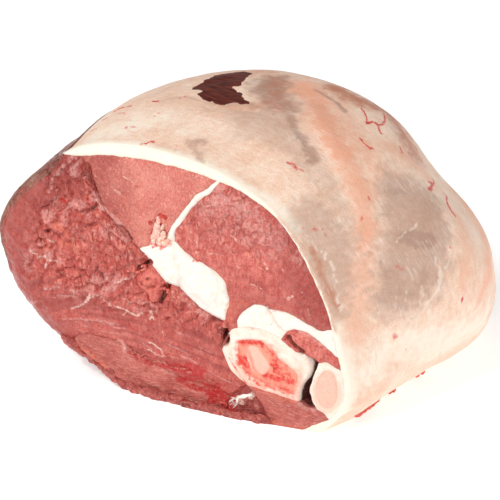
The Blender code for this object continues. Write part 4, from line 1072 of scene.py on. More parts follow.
class PieceBuilder:
    """Meshes the pieces from the seams."""

    CUT_LAYERS = (Layer.PALE, Layer.SALMON, Layer.BLOOD, Layer.DARK, Layer.SHEEN)
    LUMPINESS = {"top_muscle": 0.12, "lower_band_muscle": 0.3, "lower_muscle": 0.25,
                 "centre_muscle": 0.3, "flap_muscle": 0.6, "small_muscle": 0.4,
                 "joint_tissue": 0.6, "gland": 0.6, "seam_fat": 0.4, "joint_fat": 0.4}
    SKIN_LAYERS = (Layer.GREY, Layer.PEACH, Layer.CREAM, Layer.MAROON, Layer.BROWN, Layer.VEIN,
                   Layer.WEB)

    def __init__(self, shape: LegShape, seams: SeamMap) -> None:
        """Keeps the leg's shape and seams."""
        self.shape = shape
        self.seams = seams

    @staticmethod
    def face_net(loops: Sequence[Array], step: float) -> tuple[Array, list[list[int]]]:
        """Inner points and triangles of a cut face: a loop, perhaps with a hole in it."""
        ring = np.vstack(loops)
        low, high = loops[0].min(0), loops[0].max(0)
        xs = np.arange(low[0] + step / 2, high[0], step)
        zs = np.arange(low[1] + step / 2, high[1], step * 0.87)
        gx, gz = np.meshgrid(xs, zs)
        gx = gx + (np.arange(len(zs)) % 2)[:, None] * step / 2
        grid = np.stack([gx.ravel(), gz.ravel()], 1)
        grid += 0.16 * step * np.stack([lattice_noise(grid, step * 0.7, 3),
                                        lattice_noise(grid, step * 0.7, 4)], 1)
        grid = grid[inside(loops[0], grid)]
        keep = np.ones(len(grid), bool)
        for k, loop in enumerate(loops):
            keep &= line_distance(loop, grid, closed=True) > step * 0.5
            if k:
                keep &= ~inside(loop, grid)
        grid = grid[keep]
        edges, first = [], 0
        for loop in loops:
            n = len(loop)
            edges += [(first + i, first + (i + 1) % n) for i in range(n)]
            first += n
        points = np.vstack([ring, grid])
        found = delaunay_2d_cdt([Vector(p) for p in points], edges, [], 0, 1e-5)
        number = [s[0] if s else -1 for s in found[3]]
        at = np.array([tuple(v) for v in found[0]])
        triangles = np.array(found[2])
        middle = at[triangles].mean(1)
        good = inside(loops[0], middle)
        for hole in loops[1:]:
            good &= ~inside(hole, middle)
        outer = len(loops[0])
        along = {(a, b) if a < outer else (b, a) for a, b in edges}
        against = {(b, a) for a, b in along}
        kept = []
        for triangle, fine in zip(triangles, good):
            a, b, c = (number[v] for v in triangle)
            sides = {(a, b), (b, c), (c, a)}
            if not sides & against and (fine or sides & along):
                kept.append([a, b, c])
        return grid, kept

    def _lumpy(self, piece: Piece, at: Array) -> Array:
        """How torn and lumpy the cut is at each point, from nought to one."""
        x, z = at.T
        if piece.node == "left_muscle":
            # The upper lobe is torn and lumpy; the flank and the lower part are cleanly cut.
            high = smooth(34.0, 58.0, z + 0.1 * x)
            return high * smooth(3.0, 13.0, x - 0.3 * np.maximum(z - 60.0, 0))
        if piece.node == "right_muscle":
            return 0.35 + 0.65 * smooth(74.0, 92.0, z)
        return np.full(len(at), self.LUMPINESS.get(piece.node, 0.3))

    def _cut_height(self, piece: Piece, loops: Sequence[Array], at: Array, seed: int) -> Array:
        """How far each point of a cut face stands out of the plane of the cut."""
        near = np.min([line_distance(loop, at, closed=True) for loop in loops], axis=0)
        edge = smooth(0.0, 1.6, near)
        height = piece.lip * edge + piece.dome * smooth(0.0, 9.0, near)
        amount, size = piece.rough
        height += amount * fractal(at, size, seed, 3, 0.55) * edge
        if piece.node in ("left_muscle", "right_muscle", "flap_muscle", "centre_muscle"):
            lumpy = self._lumpy(piece, at)
            deep = 1.15 if piece.node == "left_muscle" else 0.5
            height += deep * lumpy * edge * (1.6 * bundles(at, 7.0, seed) ** 0.6 - 1.1)
            height += 0.6 * deep * lumpy * edge * (bundles(at, 3.0, seed + 5) ** 0.7 - 0.6)
        return height

    def _clefts(self, piece: Piece, at: Array, seed: int) -> Array:
        """Where the clefts between bundles lie, which are darkened with painted shade."""
        if piece.node not in ("left_muscle", "right_muscle", "flap_muscle", "centre_muscle"):
            return np.zeros(len(at))
        wide = 1 - smooth(0.02, 0.24, bundles(at, 7.0, seed))
        fine = 1 - smooth(0.02, 0.3, bundles(at, 3.0, seed + 5))
        some = smooth(-0.3, 0.4, lattice_noise(at, 8.0, seed + 6))
        return np.maximum(0.74 * wide, 0.44 * fine) * self._lumpy(piece, at) * (0.3 + 0.7 * some)

    def _crown_sheen_and_streaks(self, piece: Piece, at: Array, seed: int) -> Array:
        """Painted sheen on the crowns of the bundles, and pale streaks of fibre low on the left muscle."""
        if piece.node not in ("left_muscle", "right_muscle", "flap_muscle", "centre_muscle"):
            return np.zeros(len(at))
        crowns = smooth(0.35, 0.75, bundles(at, 7.0, seed))
        crowns = np.maximum(crowns, 0.8 * smooth(0.4, 0.8, bundles(at, 3.0, seed + 5)))
        some = smooth(0.0, 0.5, lattice_noise(at, 9.0, seed + 8) + 0.5 * lattice_noise(at, 3.5, seed + 9))
        sheen_and_streaks = 0.7 * crowns * some * self._lumpy(piece, at)
        if piece.node == "left_muscle":
            bent = at[:, 1] + 0.0035 * (at[:, 0] - 60.0) ** 2
            along = np.stack([at[:, 0] + 0.5 * bent, bent], 1)
            streak = lattice_noise(along, np.array([17.0, 1.1]), seed + 11)
            streak = streak + 0.6 * lattice_noise(along, np.array([8.0, 0.6]), seed + 12)
            low = 1 - smooth(42.0, 58.0, at[:, 1] + 0.1 * at[:, 0])
            sheen_and_streaks = np.maximum(sheen_and_streaks, 0.7 * low * smooth(0.45, 1.05, streak))
        return sheen_and_streaks

    @staticmethod
    def _streaks(at: Array, seed: int) -> Array:
        """Dark streaks between the long fibres of the lower part."""
        bent = at[:, 1] + 0.0035 * (at[:, 0] - 60.0) ** 2
        along = np.stack([at[:, 0] + 0.5 * bent, bent], 1)
        streak = lattice_noise(along, np.array([19.0, 1.6]), seed + 21)
        streak = streak + 0.5 * lattice_noise(along, np.array([9.0, 0.8]), seed + 22)
        low = 1 - smooth(44.0, 60.0, at[:, 1] + 0.1 * at[:, 0])
        return low * (0.52 + 0.48 * smooth(-0.1, 0.7, streak))

    def _cut_relief(self, at: Array) -> Array:
        """Height of the grooves and swellings of the cut end at each position."""
        total = np.zeros(len(at))
        for relief in CUT_RELIEF:
            total += 1.35 * relief.value(at)
        return total

    def build(self, piece: Piece, seed: int) -> list[tuple[Piece, Surface]]:
        """The piece's surface, and that of the middle of its hole if it has one."""
        loop, free = self.seams.loop(piece.seams, -SEAM_OVERLAP)
        loops, frees = [loop], [free]
        made = []
        if piece.hole:
            line = catmull_rom(HOLES[piece.hole], 10, closed=True)
            line = evenly(np.vstack([line, line[:1]]), LOOP_STEP)[:-1]
            line = line if signed_area(line) > 0 else line[::-1]
            line = line + 0.35 * np.stack([lattice_noise(line, 3.0, 15), lattice_noise(line, 3.0, 16)], 1)
            loops.append(drawn_in(line, np.full(len(line), 0.05)))
            frees.append(np.zeros(len(line), bool))
            middle = Piece(piece.hole, "marrow", (), Finish.SPONGY, 0.0, 0.1, (0.14, 1.1),
                           fade=0.4)
            plug = drawn_in(line, np.full(len(line), -0.05))
            made.append((middle, self._column(middle, [plug], [np.zeros(len(plug), bool)],
                                              seed + 50)))
        made.append((piece, self._column(piece, loops, frees, seed)))
        return made

    def _shares(self, piece: Piece, exposed: bool) -> list[float]:
        """Shares of the depth at which the piece has a ring of points."""
        if piece.node == "fat_cover":
            return list(np.linspace(0, 1, 112))
        count = 70 if exposed else 16
        rows = np.linspace(0, 1, count) ** (1.0 if exposed else 1.5)
        near = [0.004, 0.01, 0.02]
        rows = sorted({0.0, *near, *[r for r in rows if r > 0.03]})
        return [piece.start] + [r for r in rows if r > piece.start + 0.004]

    def _column(self, piece: Piece, loops: list[Array], frees: list[Array], seed: int) -> Surface:
        """The piece's sides and its two cut faces as one closed surface."""
        ring = np.vstack(loops)
        free = np.concatenate(frees)
        shares = self._shares(piece, bool(free.any()))
        front_grid, front_tris = self.face_net(loops, FRONT_CELL)
        back_grid, back_tris = self.face_net(loops, BACK_CELL)
        n, rows = len(ring), len(shares)
        front = self.shape.carry(front_grid, shares[0])
        front[:, 1] -= self._cut_height(piece, loops, front_grid, seed) + self._cut_relief(front_grid)
        back = self.shape.carry(back_grid, shares[-1])
        back[:, 1] += self._cut_height(piece, loops, back_grid, seed + 9)
        verts = np.vstack([self.shape.carry(ring, s) for s in shares] + [front, back])
        first_front = rows * n
        first_back = first_front + len(front_grid)
        faces: list[tuple[int, ...]] = []
        first = 0
        for k, loop in enumerate(loops):
            m = len(loop)
            i = np.arange(m)
            a, b = first + i, first + (i + 1) % m
            for row in range(rows - 1):
                quad = np.stack([a + row * n, a + row * n + n, b + row * n + n, b + row * n], 1)
                faces += map(tuple, (quad if k == 0 else quad[:, ::-1]).tolist())
            first += m
        for tris, base, offset, flip in ((front_tris, 0, first_front, False),
                                         (back_tris, (rows - 1) * n, first_back, True)):
            t = np.array(tris)
            t = np.where(t < n, t + base, t - n + offset)
            faces += map(tuple, (t[:, ::-1] if flip else t).tolist())
        return self._painted(piece, verts, faces, ring, free, loops, shares, front_grid, back_grid,
                             seed)

    def _painted(self, piece: Piece, verts: Array, faces: list[tuple[int, ...]], ring: Array,
                 free: Array, loops: list[Array], shares: list[float], front_grid: Array,
                 back_grid: Array, seed: int) -> Surface:
        """The surface with the strength of each painted layer at its points."""
        rows = len(shares)
        flat = np.vstack([np.tile(ring, (rows, 1)), front_grid, back_grid])
        depth = np.concatenate([np.repeat(shares, len(ring)), np.full(len(front_grid), shares[0]),
                                np.full(len(back_grid), shares[-1])]) * DEPTH
        on_cut = np.concatenate([np.repeat(np.array(shares) < 1e-9, len(ring)),
                                 np.ones(len(front_grid), bool), np.ones(len(back_grid), bool)])
        on_cut |= depth >= DEPTH - 1e-6
        side = np.concatenate([np.tile(free, rows), np.zeros(len(front_grid) + len(back_grid), bool)])
        p = flat - np.array(CENTRE)
        degrees = (np.degrees(np.arctan2(p[:, 1], p[:, 0])) + 120) % 360 - 120
        sheet = np.stack([degrees * SKIN_MM_PER_DEGREE, depth], 1)
        layers: dict[str, Array] = {}
        cut_points = flat[on_cut]
        for layer in self.CUT_LAYERS:
            value = np.zeros(len(flat))
            value[on_cut] = painted(CUT_STROKES, layer, cut_points)
            layers[layer.value] = value
        # Inner walls fall into shade a little way in from the cut.
        wall = ~side & ~on_cut
        layers[Layer.DARK.value][wall] = smooth(0.5, 3.0, depth[wall])
        lumpy = np.full(len(flat), 0.3)
        lumpy[on_cut] = self._lumpy(piece, cut_points)
        # Painted shade in the clefts, then broader darker washes on some pieces.
        deep = np.zeros(len(flat))
        deep[on_cut] = self._clefts(piece, cut_points, seed)
        sheen = layers[Layer.SHEEN.value]
        sheen[on_cut] = np.maximum(sheen[on_cut], self._crown_sheen_and_streaks(piece, cut_points, seed))
        layers[Layer.LUMPY.value], layers[Layer.CLEFT_SHADE_AND_WASH.value] = lumpy, deep
        across = cut_points[:, 0] + 4.0 * lattice_noise(cut_points, 9.0, 79)
        if piece.node == "right_muscle":
            low = 0.44 * (1 - smooth(60.0, 88.0, cut_points[:, 1]))
            wash = np.maximum(0.7 * smooth(116.0, 148.0, across), low)
            deep[on_cut] = np.maximum(deep[on_cut], wash)
        elif piece.node == "flap_muscle":
            deep[on_cut] = np.maximum(deep[on_cut], 0.85)
        elif piece.node == "top_muscle":
            deep[on_cut] = np.maximum(deep[on_cut], 0.62 * (1 - smooth(46.0, 76.0, across)))
        near = np.full(len(flat), 9.0)
        near[on_cut] = np.min([line_distance(loop, cut_points, closed=True) for loop in loops], axis=0)
        rim = 1 - smooth(0.0, piece.fade, near)
        layers[Layer.RIM.value] = rim
        bare = (side & ~on_cut).astype(float)
        bare[side & on_cut] = 0.6
        thin = np.zeros(len(cut_points))
        if piece.finish is Finish.SKIN:
            # Where the fat is thinnest only its inner edge shows white on the cut.
            inner = line_distance(run_of(ring, ~free), cut_points)
            thin = smooth(-6, 0, degrees[on_cut]) * (1 - smooth(40, 50, degrees[on_cut]))
            thin = thin * smooth(0.3, 1.0, inner + 0.3 * lattice_noise(cut_points, 2.4, 71))
            bare[on_cut] = np.maximum(bare[on_cut], thin)
        elif piece.node == "left_muscle":
            # The dried flank turns over the upper left edge of the cut.
            turn = smooth(128, 138, degrees[on_cut]) * (1 - smooth(168, 186, degrees[on_cut]))
            reach = 3.8 + 2.2 * lattice_noise(cut_points, 7.0, 73)
            edge = line_distance(run_of(ring, free), cut_points)
            over = 1 - smooth(0.2, 1.0, edge / np.maximum(reach, 0.6))
            bare[on_cut] = np.maximum(bare[on_cut], 0.8 * turn * over)
            # The flank is darker, more so towards its edge.
            upper = 0.9 + 0.1 * smooth(34, 62, cut_points[:, 1])
            flank = upper * (1 - smooth(4.0, 28.0, edge + 3.0 * lattice_noise(cut_points, 8.0, 77)))
            flank = np.maximum(flank, 0.9 * self._streaks(cut_points, seed))
            deep[on_cut] = np.maximum(deep[on_cut], flank)
        layers[Layer.BARE.value] = bare
        if piece.finish is Finish.SKIN:
            for layer in self.SKIN_LAYERS:
                value = np.zeros(len(flat))
                value[side] = painted(SKIN_STROKES, layer, sheet[side])
                if layer is Layer.GREY:
                    value[on_cut] = np.maximum(value[on_cut], 0.45 * thin)
                layers[layer.value] = value
        return Surface(verts, faces, layers, sheet, side)


class LegObject:
    """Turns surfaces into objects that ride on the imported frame."""

    def __init__(self, shape: LegShape, materials: dict[str, bpy.types.Material],
                 box: tuple[Array, Array]) -> None:
        """Keeps the shape, the materials and the frame's box."""
        self.shape = shape
        self.materials = materials
        self.low, self.high = box

    def make(self, piece: Piece, surface: Surface, seed: int) -> bpy.types.Object:
        """An object for a surface, its free sides given their undulations."""
        mesh = bpy.data.meshes.new(piece.node + "_look")
        mesh.from_pydata((surface.verts * MM).tolist(), [], surface.faces)
        mesh.update()
        self._undulate(piece, mesh, surface, seed)
        self._keep_in_box(mesh)
        for name, values in surface.layers.items():
            attribute = mesh.attributes.new(name, "FLOAT", "POINT")
            attribute.data.foreach_set("value", np.asarray(values, np.float32))
        sheet = mesh.attributes.new("sheet", "FLOAT_VECTOR", "POINT")
        flat = np.hstack([surface.sheet, np.zeros((len(surface.sheet), 1))])
        sheet.data.foreach_set("vector", flat.astype(np.float32).ravel())
        mesh.shade_smooth()
        mesh.materials.append(self.materials[piece.finish.value])
        thing = bpy.data.objects.new(piece.node + "_look", mesh)
        bpy.context.scene.collection.objects.link(thing)
        return thing

    def _undulate(self, piece: Piece, mesh: bpy.types.Mesh, surface: Surface, seed: int) -> None:
        """Moves the free sides in and out along their normals."""
        outside = surface.outside
        if not outside.any():
            return
        normals = np.zeros(len(mesh.vertices) * 3, np.float32)
        mesh.vertex_normals.foreach_get("vector", normals)
        normals = normals.reshape(-1, 3)
        at = surface.verts[outside]
        if piece.finish is Finish.SKIN:
            move = 0.35 * lattice_noise(at, 17.0, seed) + 0.12 * lattice_noise(at, 4.0, seed + 1)
            for relief in SKIN_RELIEF:
                move = move + relief.value(surface.sheet[outside])
            move = move - 0.5
        else:
            fibre = lattice_noise(at, np.array([3.0, 16.0, 3.0]), seed + 2)
            move = 0.5 * fibre + 0.4 * lattice_noise(at, 7.0, seed + 3) - 0.7
        # The underside stays flat on the board, and the cut rim keeps its place.
        move = move * smooth(0.2, 5.0, at[:, 2])
        ease = smooth(0.0, 5.0, surface.sheet[outside][:, 1])
        move = move * (0.35 + 0.65 * ease)
        if piece.finish is Finish.SKIN:
            degrees = surface.sheet[outside][:, 0] / SKIN_MM_PER_DEGREE
            thick = by_angle(self.shape.FAT_THICKNESS, degrees)
            move = np.maximum(move, 0.75 - thick)
        verts = surface.verts.copy()
        verts[outside] += normals[outside] * move[:, None]
        mesh.vertices.foreach_set("co", (verts * MM).astype(np.float32).ravel())
        mesh.update()

    def _keep_in_box(self, mesh: bpy.types.Mesh) -> None:
        """Keeps a piece inside the box of the solids, with rounded rather than clipped crests."""
        verts = np.zeros(len(mesh.vertices) * 3, np.float32)
        mesh.vertices.foreach_get("co", verts)
        verts = verts.reshape(-1, 3).astype(float) / MM
        for axis in range(3):
            verts[:, axis] = soft_min(verts[:, axis], np.array(self.high[axis] - 0.02), 0.8)
        for axis in range(2):
            verts[:, axis] = -soft_min(-verts[:, axis], np.array(-self.low[axis] - 0.02), 0.8)
        verts[:, 2] = np.maximum(verts[:, 2], 0.0)
        mesh.vertices.foreach_set("co", (verts * MM).astype(np.float32).ravel())
        mesh.update()


# ------------------------------------------------------------------ materials
Value = Any


def linear(code: str) -> tuple[float, float, float, float]:
    """An sRGB hex colour as linear red, green, blue and alpha."""
    parts = [int(code[i:i + 2], 16) / 255 for i in (1, 3, 5)]
    r, g, b = (v / 12.92 if v <= 0.04045 else ((v + 0.055) / 1.055) ** 2.4 for v in parts)
    return (r, g, b, 1.0)


def add(tree: bpy.types.NodeTree, kind: str, inputs: dict[Any, Value] | None = None,
        **settings: Value) -> bpy.types.Node:
    """Adds a node with its settings and links.

    Args:
        tree: the node tree.
        kind: the node's type.
        inputs: by socket name or number, a value or a socket to link from.
        settings: the node's own properties.

    Returns:
        The node.
    """
    node = tree.nodes.new(kind)
    for key, value in settings.items():
        setattr(node, key, value)
    for key, value in (inputs or {}).items():
        if isinstance(value, bpy.types.NodeSocket):
            tree.links.new(value, node.inputs[key])
        else:
            node.inputs[key].default_value = value
    return node


@dataclass(frozen=True)
class Tint:
    """A colour laid over the ones below it where a point attribute is strong."""

    layer: Layer
    colour: str
    amount: float = 1.0
    ragged: float = 0.35
    low: float = 0.25
    high: float = 0.75


@dataclass(frozen=True)
class Folds:
    """Fine folded texture: size in millimetres, groove colour of painted shade and crown colour of painted
    highlight, least strength.
    """

    size: float
    groove: str
    crown: str
    least: float = 0.25
    height: float = 1.0
    crown_share: float = 0.4


@dataclass(frozen=True)
class TissueFinish:
    """A raw tissue: a mottled moist surface with painted layers over it.

    Attributes:
        name: the material's name, for what it really is.
        dark, middle, light: its own tints.
        patch: size of its broad patches in millimetres.
        grain: size of its fine grain in millimetres.
        stretch: how much longer than wide the grain runs, along each axis.
        tints: the layers over it, lowest first.
        roughness: lowest and highest roughness.
        relief: depth of the fine relief in millimetres.
        depth: how far light goes into it, in millimetres.
        flecks: colour and strength of small pale flecks of fat.
        folds: its fine folds, if it has any.
        mottle: size of the mottling that breaks up the painted layers, in millimetres.
        spread: range of noise that its tints cover; the less, the more they contrast.
        wet: weight of the film of moisture.
        on_sheet: whether the grain follows the skin's flat coordinates.
    """

    name: str
    dark: str
    middle: str
    light: str
    patch: float
    grain: float
    stretch: tuple[float, float, float]
    tints: tuple[Tint, ...]
    roughness: tuple[float, float]
    relief: float
    depth: float
    flecks: tuple[str, float] = ("#FFFFFF", 0.0)
    folds: Folds | None = None
    wet: float = 0.25
    mottle: float = 1.5
    spread: float = 0.28
    on_sheet: bool = False

    def build(self) -> bpy.types.Material:
        """Builds the material's nodes."""
        material = bpy.data.materials.new(self.name)
        material.use_nodes = True
        tree = material.node_tree
        tree.nodes.clear()
        place = add(tree, "ShaderNodeTexCoord").outputs["Object"]
        unit = 1 / MM
        if self.on_sheet:
            place = add(tree, "ShaderNodeAttribute", attribute_name="sheet").outputs["Vector"]
            unit = 1.0
        along = add(tree, "ShaderNodeMapping",
                    {"Vector": place, "Scale": tuple(unit / v for v in self.stretch)}).outputs[0]
        even = add(tree, "ShaderNodeMapping", {"Vector": place, "Scale": (unit,) * 3}).outputs[0]
        patch, grain, fine = (
            add(tree, "ShaderNodeTexNoise", {"Vector": where, "Scale": 1 / size, "Detail": detail,
                                             "Roughness": rough}).outputs[0]
            for where, size, detail, rough in ((even, self.patch, 3.0, 0.6),
                                               (along, self.grain, 4.0, 0.62),
                                               (even, self.grain * 0.4, 3.0, 0.6)))
        mixed = add(tree, "ShaderNodeMath", {0: patch, 1: grain}, operation="ADD").outputs[0]
        mixed = add(tree, "ShaderNodeMath", {0: mixed, 1: fine}, operation="ADD").outputs[0]
        tone = add(tree, "ShaderNodeMapRange",
                   {"Value": mixed, "From Min": 1.5 - self.spread,
                    "From Max": 1.5 + self.spread}).outputs[0]
        ramp = add(tree, "ShaderNodeValToRGB", {"Fac": tone})
        ramp.color_ramp.elements[0].color = linear(self.dark)
        ramp.color_ramp.elements[1].color = linear(self.light)
        ramp.color_ramp.elements.new(0.5).color = linear(self.middle)
        colour = ramp.outputs[0]
        if self.flecks[1] > 0:
            fleck = add(tree, "ShaderNodeMapRange",
                        {"Value": fine, "From Min": 0.58, "From Max": 0.7,
                         "To Max": self.flecks[1]}, interpolation_type="SMOOTHSTEP").outputs[0]
            colour = add(tree, "ShaderNodeMix", {0: fleck, 6: colour, 7: linear(self.flecks[0])},
                         data_type="RGBA").outputs[2]
        height = add(tree, "ShaderNodeMath", {0: grain, 1: fine}, operation="ADD").outputs[0]
        if self.folds:
            colour, height = self._folded(tree, along, colour, height)
        mottle = add(tree, "ShaderNodeTexNoise", {"Vector": even, "Scale": 1 / self.mottle,
                                                  "Detail": 5.0, "Roughness": 0.68}).outputs[0]
        for tint in self.tints:
            colour = self._laid(tree, tint, colour, mottle)
        rough = add(tree, "ShaderNodeMapRange",
                    {"Value": grain, "From Min": 0.35, "From Max": 0.65,
                     "To Min": self.roughness[0], "To Max": self.roughness[1]}).outputs[0]
        bump = add(tree, "ShaderNodeBump", {"Height": height, "Strength": 0.9,
                                            "Distance": self.relief * MM}).outputs[0]
        shader = add(tree, "ShaderNodeBsdfPrincipled",
                     {"Base Color": colour, "Roughness": rough, "Normal": bump, "IOR": 1.4,
                      "Subsurface Weight": 0.1, "Subsurface Radius": (1.0, 0.35, 0.2),
                      "Subsurface Scale": self.depth * MM, "Coat Weight": self.wet,
                      "Coat Roughness": 0.1, "Coat IOR": 1.4, "Coat Normal": bump})
        out = add(tree, "ShaderNodeOutputMaterial")
        tree.links.new(shader.outputs[0], out.inputs[0])
        return material

    def _folded(self, tree: bpy.types.NodeTree, place: Value, colour: Value,
                height: Value) -> tuple[Value, Value]:
        """Adds bent folds with bump: painted shade in the grooves, painted highlight on the crowns,
        stronger where lumpy.
        """
        folds = self.folds
        bend = add(tree, "ShaderNodeTexNoise", {"Vector": place, "Scale": 0.6 / folds.size,
                                                "Detail": 2.0}).outputs["Color"]
        bend = add(tree, "ShaderNodeVectorMath", {0: bend, 1: (0.5, 0.5, 0.5)},
                   operation="SUBTRACT").outputs[0]
        bend = add(tree, "ShaderNodeVectorMath", {0: bend, "Scale": 3.2 * folds.size},
                   operation="SCALE").outputs[0]
        bent = add(tree, "ShaderNodeVectorMath", {0: place, 1: bend}, operation="ADD").outputs[0]
        cells = add(tree, "ShaderNodeTexVoronoi", {"Vector": bent, "Scale": 1 / folds.size,
                                                   "Smoothness": 0.5},
                    feature="SMOOTH_F1").outputs["Distance"]
        edges = add(tree, "ShaderNodeTexVoronoi", {"Vector": bent, "Scale": 1 / folds.size},
                    feature="DISTANCE_TO_EDGE").outputs["Distance"]
        lumpy = add(tree, "ShaderNodeAttribute", attribute_name=Layer.LUMPY.value).outputs["Fac"]
        share = add(tree, "ShaderNodeMapRange", {"Value": lumpy, "To Min": folds.least}).outputs[0]
        groove = add(tree, "ShaderNodeMapRange",
                     {"Value": edges, "From Min": 0.02, "From Max": 0.24, "To Min": 1.0,
                      "To Max": 0.0}, interpolation_type="SMOOTHSTEP").outputs[0]
        groove = add(tree, "ShaderNodeMath", {0: groove, 1: share}, operation="MULTIPLY").outputs[0]
        crown = add(tree, "ShaderNodeMapRange",
                    {"Value": cells, "From Min": 0.12, "From Max": 0.42,
                     "To Min": folds.crown_share, "To Max": 0.0},
                    interpolation_type="SMOOTHSTEP").outputs[0]
        crown = add(tree, "ShaderNodeMath", {0: crown, 1: share}, operation="MULTIPLY").outputs[0]
        # Painted highlight on the crowns, then painted shade in the grooves.
        colour = add(tree, "ShaderNodeMix", {0: crown, 6: colour, 7: linear(folds.crown)},
                     data_type="RGBA").outputs[2]
        shade = add(tree, "ShaderNodeMath", {0: groove, 1: 0.5}, operation="MULTIPLY").outputs[0]
        colour = add(tree, "ShaderNodeMix", {0: shade, 6: colour, 7: linear(folds.groove)},
                     data_type="RGBA").outputs[2]
        drop = add(tree, "ShaderNodeMath", {0: groove, 1: -0.8 * folds.height},
                   operation="MULTIPLY").outputs[0]
        rise = add(tree, "ShaderNodeMath", {0: crown, 1: 2.0 * folds.height},
                   operation="MULTIPLY").outputs[0]
        step = add(tree, "ShaderNodeMath", {0: drop, 1: rise}, operation="ADD").outputs[0]
        return colour, add(tree, "ShaderNodeMath", {0: height, 1: step}, operation="ADD").outputs[0]

    @staticmethod
    def _laid(tree: bpy.types.NodeTree, tint: Tint, below: Value, mottle: Value) -> Value:
        """The colour below with one painted layer over it, broken up by mottling."""
        strength = add(tree, "ShaderNodeAttribute", attribute_name=tint.layer.value).outputs["Fac"]
        break_up = add(tree, "ShaderNodeMapRange",
                       {"Value": mottle, "From Min": 0.32, "From Max": 0.68,
                        "To Min": -tint.ragged, "To Max": tint.ragged}).outputs[0]
        # The noise is scaled by the layer itself, so that none of it appears elsewhere.
        break_up = add(tree, "ShaderNodeMath", {0: break_up, 1: strength},
                       operation="MULTIPLY").outputs[0]
        ragged = add(tree, "ShaderNodeMath", {0: strength, 1: break_up},
                     operation="ADD").outputs[0]
        share = add(tree, "ShaderNodeMapRange",
                    {"Value": ragged, "From Min": tint.low,
                     "From Max": tint.high, "To Max": tint.amount},
                    interpolation_type="SMOOTHSTEP").outputs[0]
        return add(tree, "ShaderNodeMix", {0: share, 6: below, 7: linear(tint.colour)},
                   data_type="RGBA").outputs[2]


# Painted shade in clefts and crevices, and painted sheen, lie among the meat's own colours here.
MEAT_TINTS = (
    Tint(Layer.CLEFT_SHADE_AND_WASH, "#93261F", 0.7, 0.4, 0.05, 0.86),
    Tint(Layer.BARE, "#793F35", 0.9, 0.9, 0.1, 0.85),
    Tint(Layer.RIM, "#A3443E", 0.4, 0.4, 0.2, 1.0),
    Tint(Layer.SHEEN, "#E9AAA2", 0.66, 0.9, 0.12, 1.1),
    Tint(Layer.SALMON, "#E8795F", 0.72, 0.8, 0.2, 1.1),
    Tint(Layer.PALE, "#F3CDBF", 0.85, 0.9, 0.2, 1.0),
    Tint(Layer.BLOOD, "#BC0F0D", 0.94, 0.9, 0.12, 0.78),
    Tint(Layer.DARK, "#5C1512", 0.9, 0.4, 0.25, 1.1),
)
FAT_TINTS = (
    Tint(Layer.RIM, "#F3CDBB", 0.45, 0.5, 0.3, 1.0),
    Tint(Layer.SALMON, "#F2A58E", 0.8, 0.7, 0.2, 1.0),
    Tint(Layer.BLOOD, "#E5453B", 0.9, 0.8, 0.15, 1.0),
    # Painted shade in crevices and on inner walls.
    Tint(Layer.DARK, "#6A2A22", 0.85, 0.4),
)
SKIN_TINTS = (
    Tint(Layer.CREAM, "#FFF1E0", 0.95, 0.25, 0.05, 1.0),
    Tint(Layer.PEACH, "#F3A684", 0.85, 0.12, 0.04, 1.25),
    Tint(Layer.GREY, "#A98373", 0.92, 0.1, 0.0, 1.25),
    Tint(Layer.BROWN, "#C06F4C", 0.85, 0.2, 0.06, 1.1),
    Tint(Layer.WEB, "#FBEBDD", 0.6, 0.35, 0.1, 1.0),
    Tint(Layer.VEIN, "#D8393A", 0.95, 0.5, 0.1, 0.8),
)
BONE_TINTS = (
    Tint(Layer.RIM, "#F3DDD6", 0.5, 0.3, 0.2, 1.0),
    Tint(Layer.SALMON, "#FDA78F", 0.95, 0.5, 0.02, 1.1),
    Tint(Layer.BLOOD, "#EC372C", 0.97, 0.9, 0.05, 1.1),
    Tint(Layer.PALE, "#FED2BE", 0.92, 0.3, 0.1, 1.0),
    # Painted shade, dark red, in crevices and on the walls of the gap between the bones.
    Tint(Layer.DARK, "#4E1711", 0.97, 0.3, 0.1, 0.8),
)

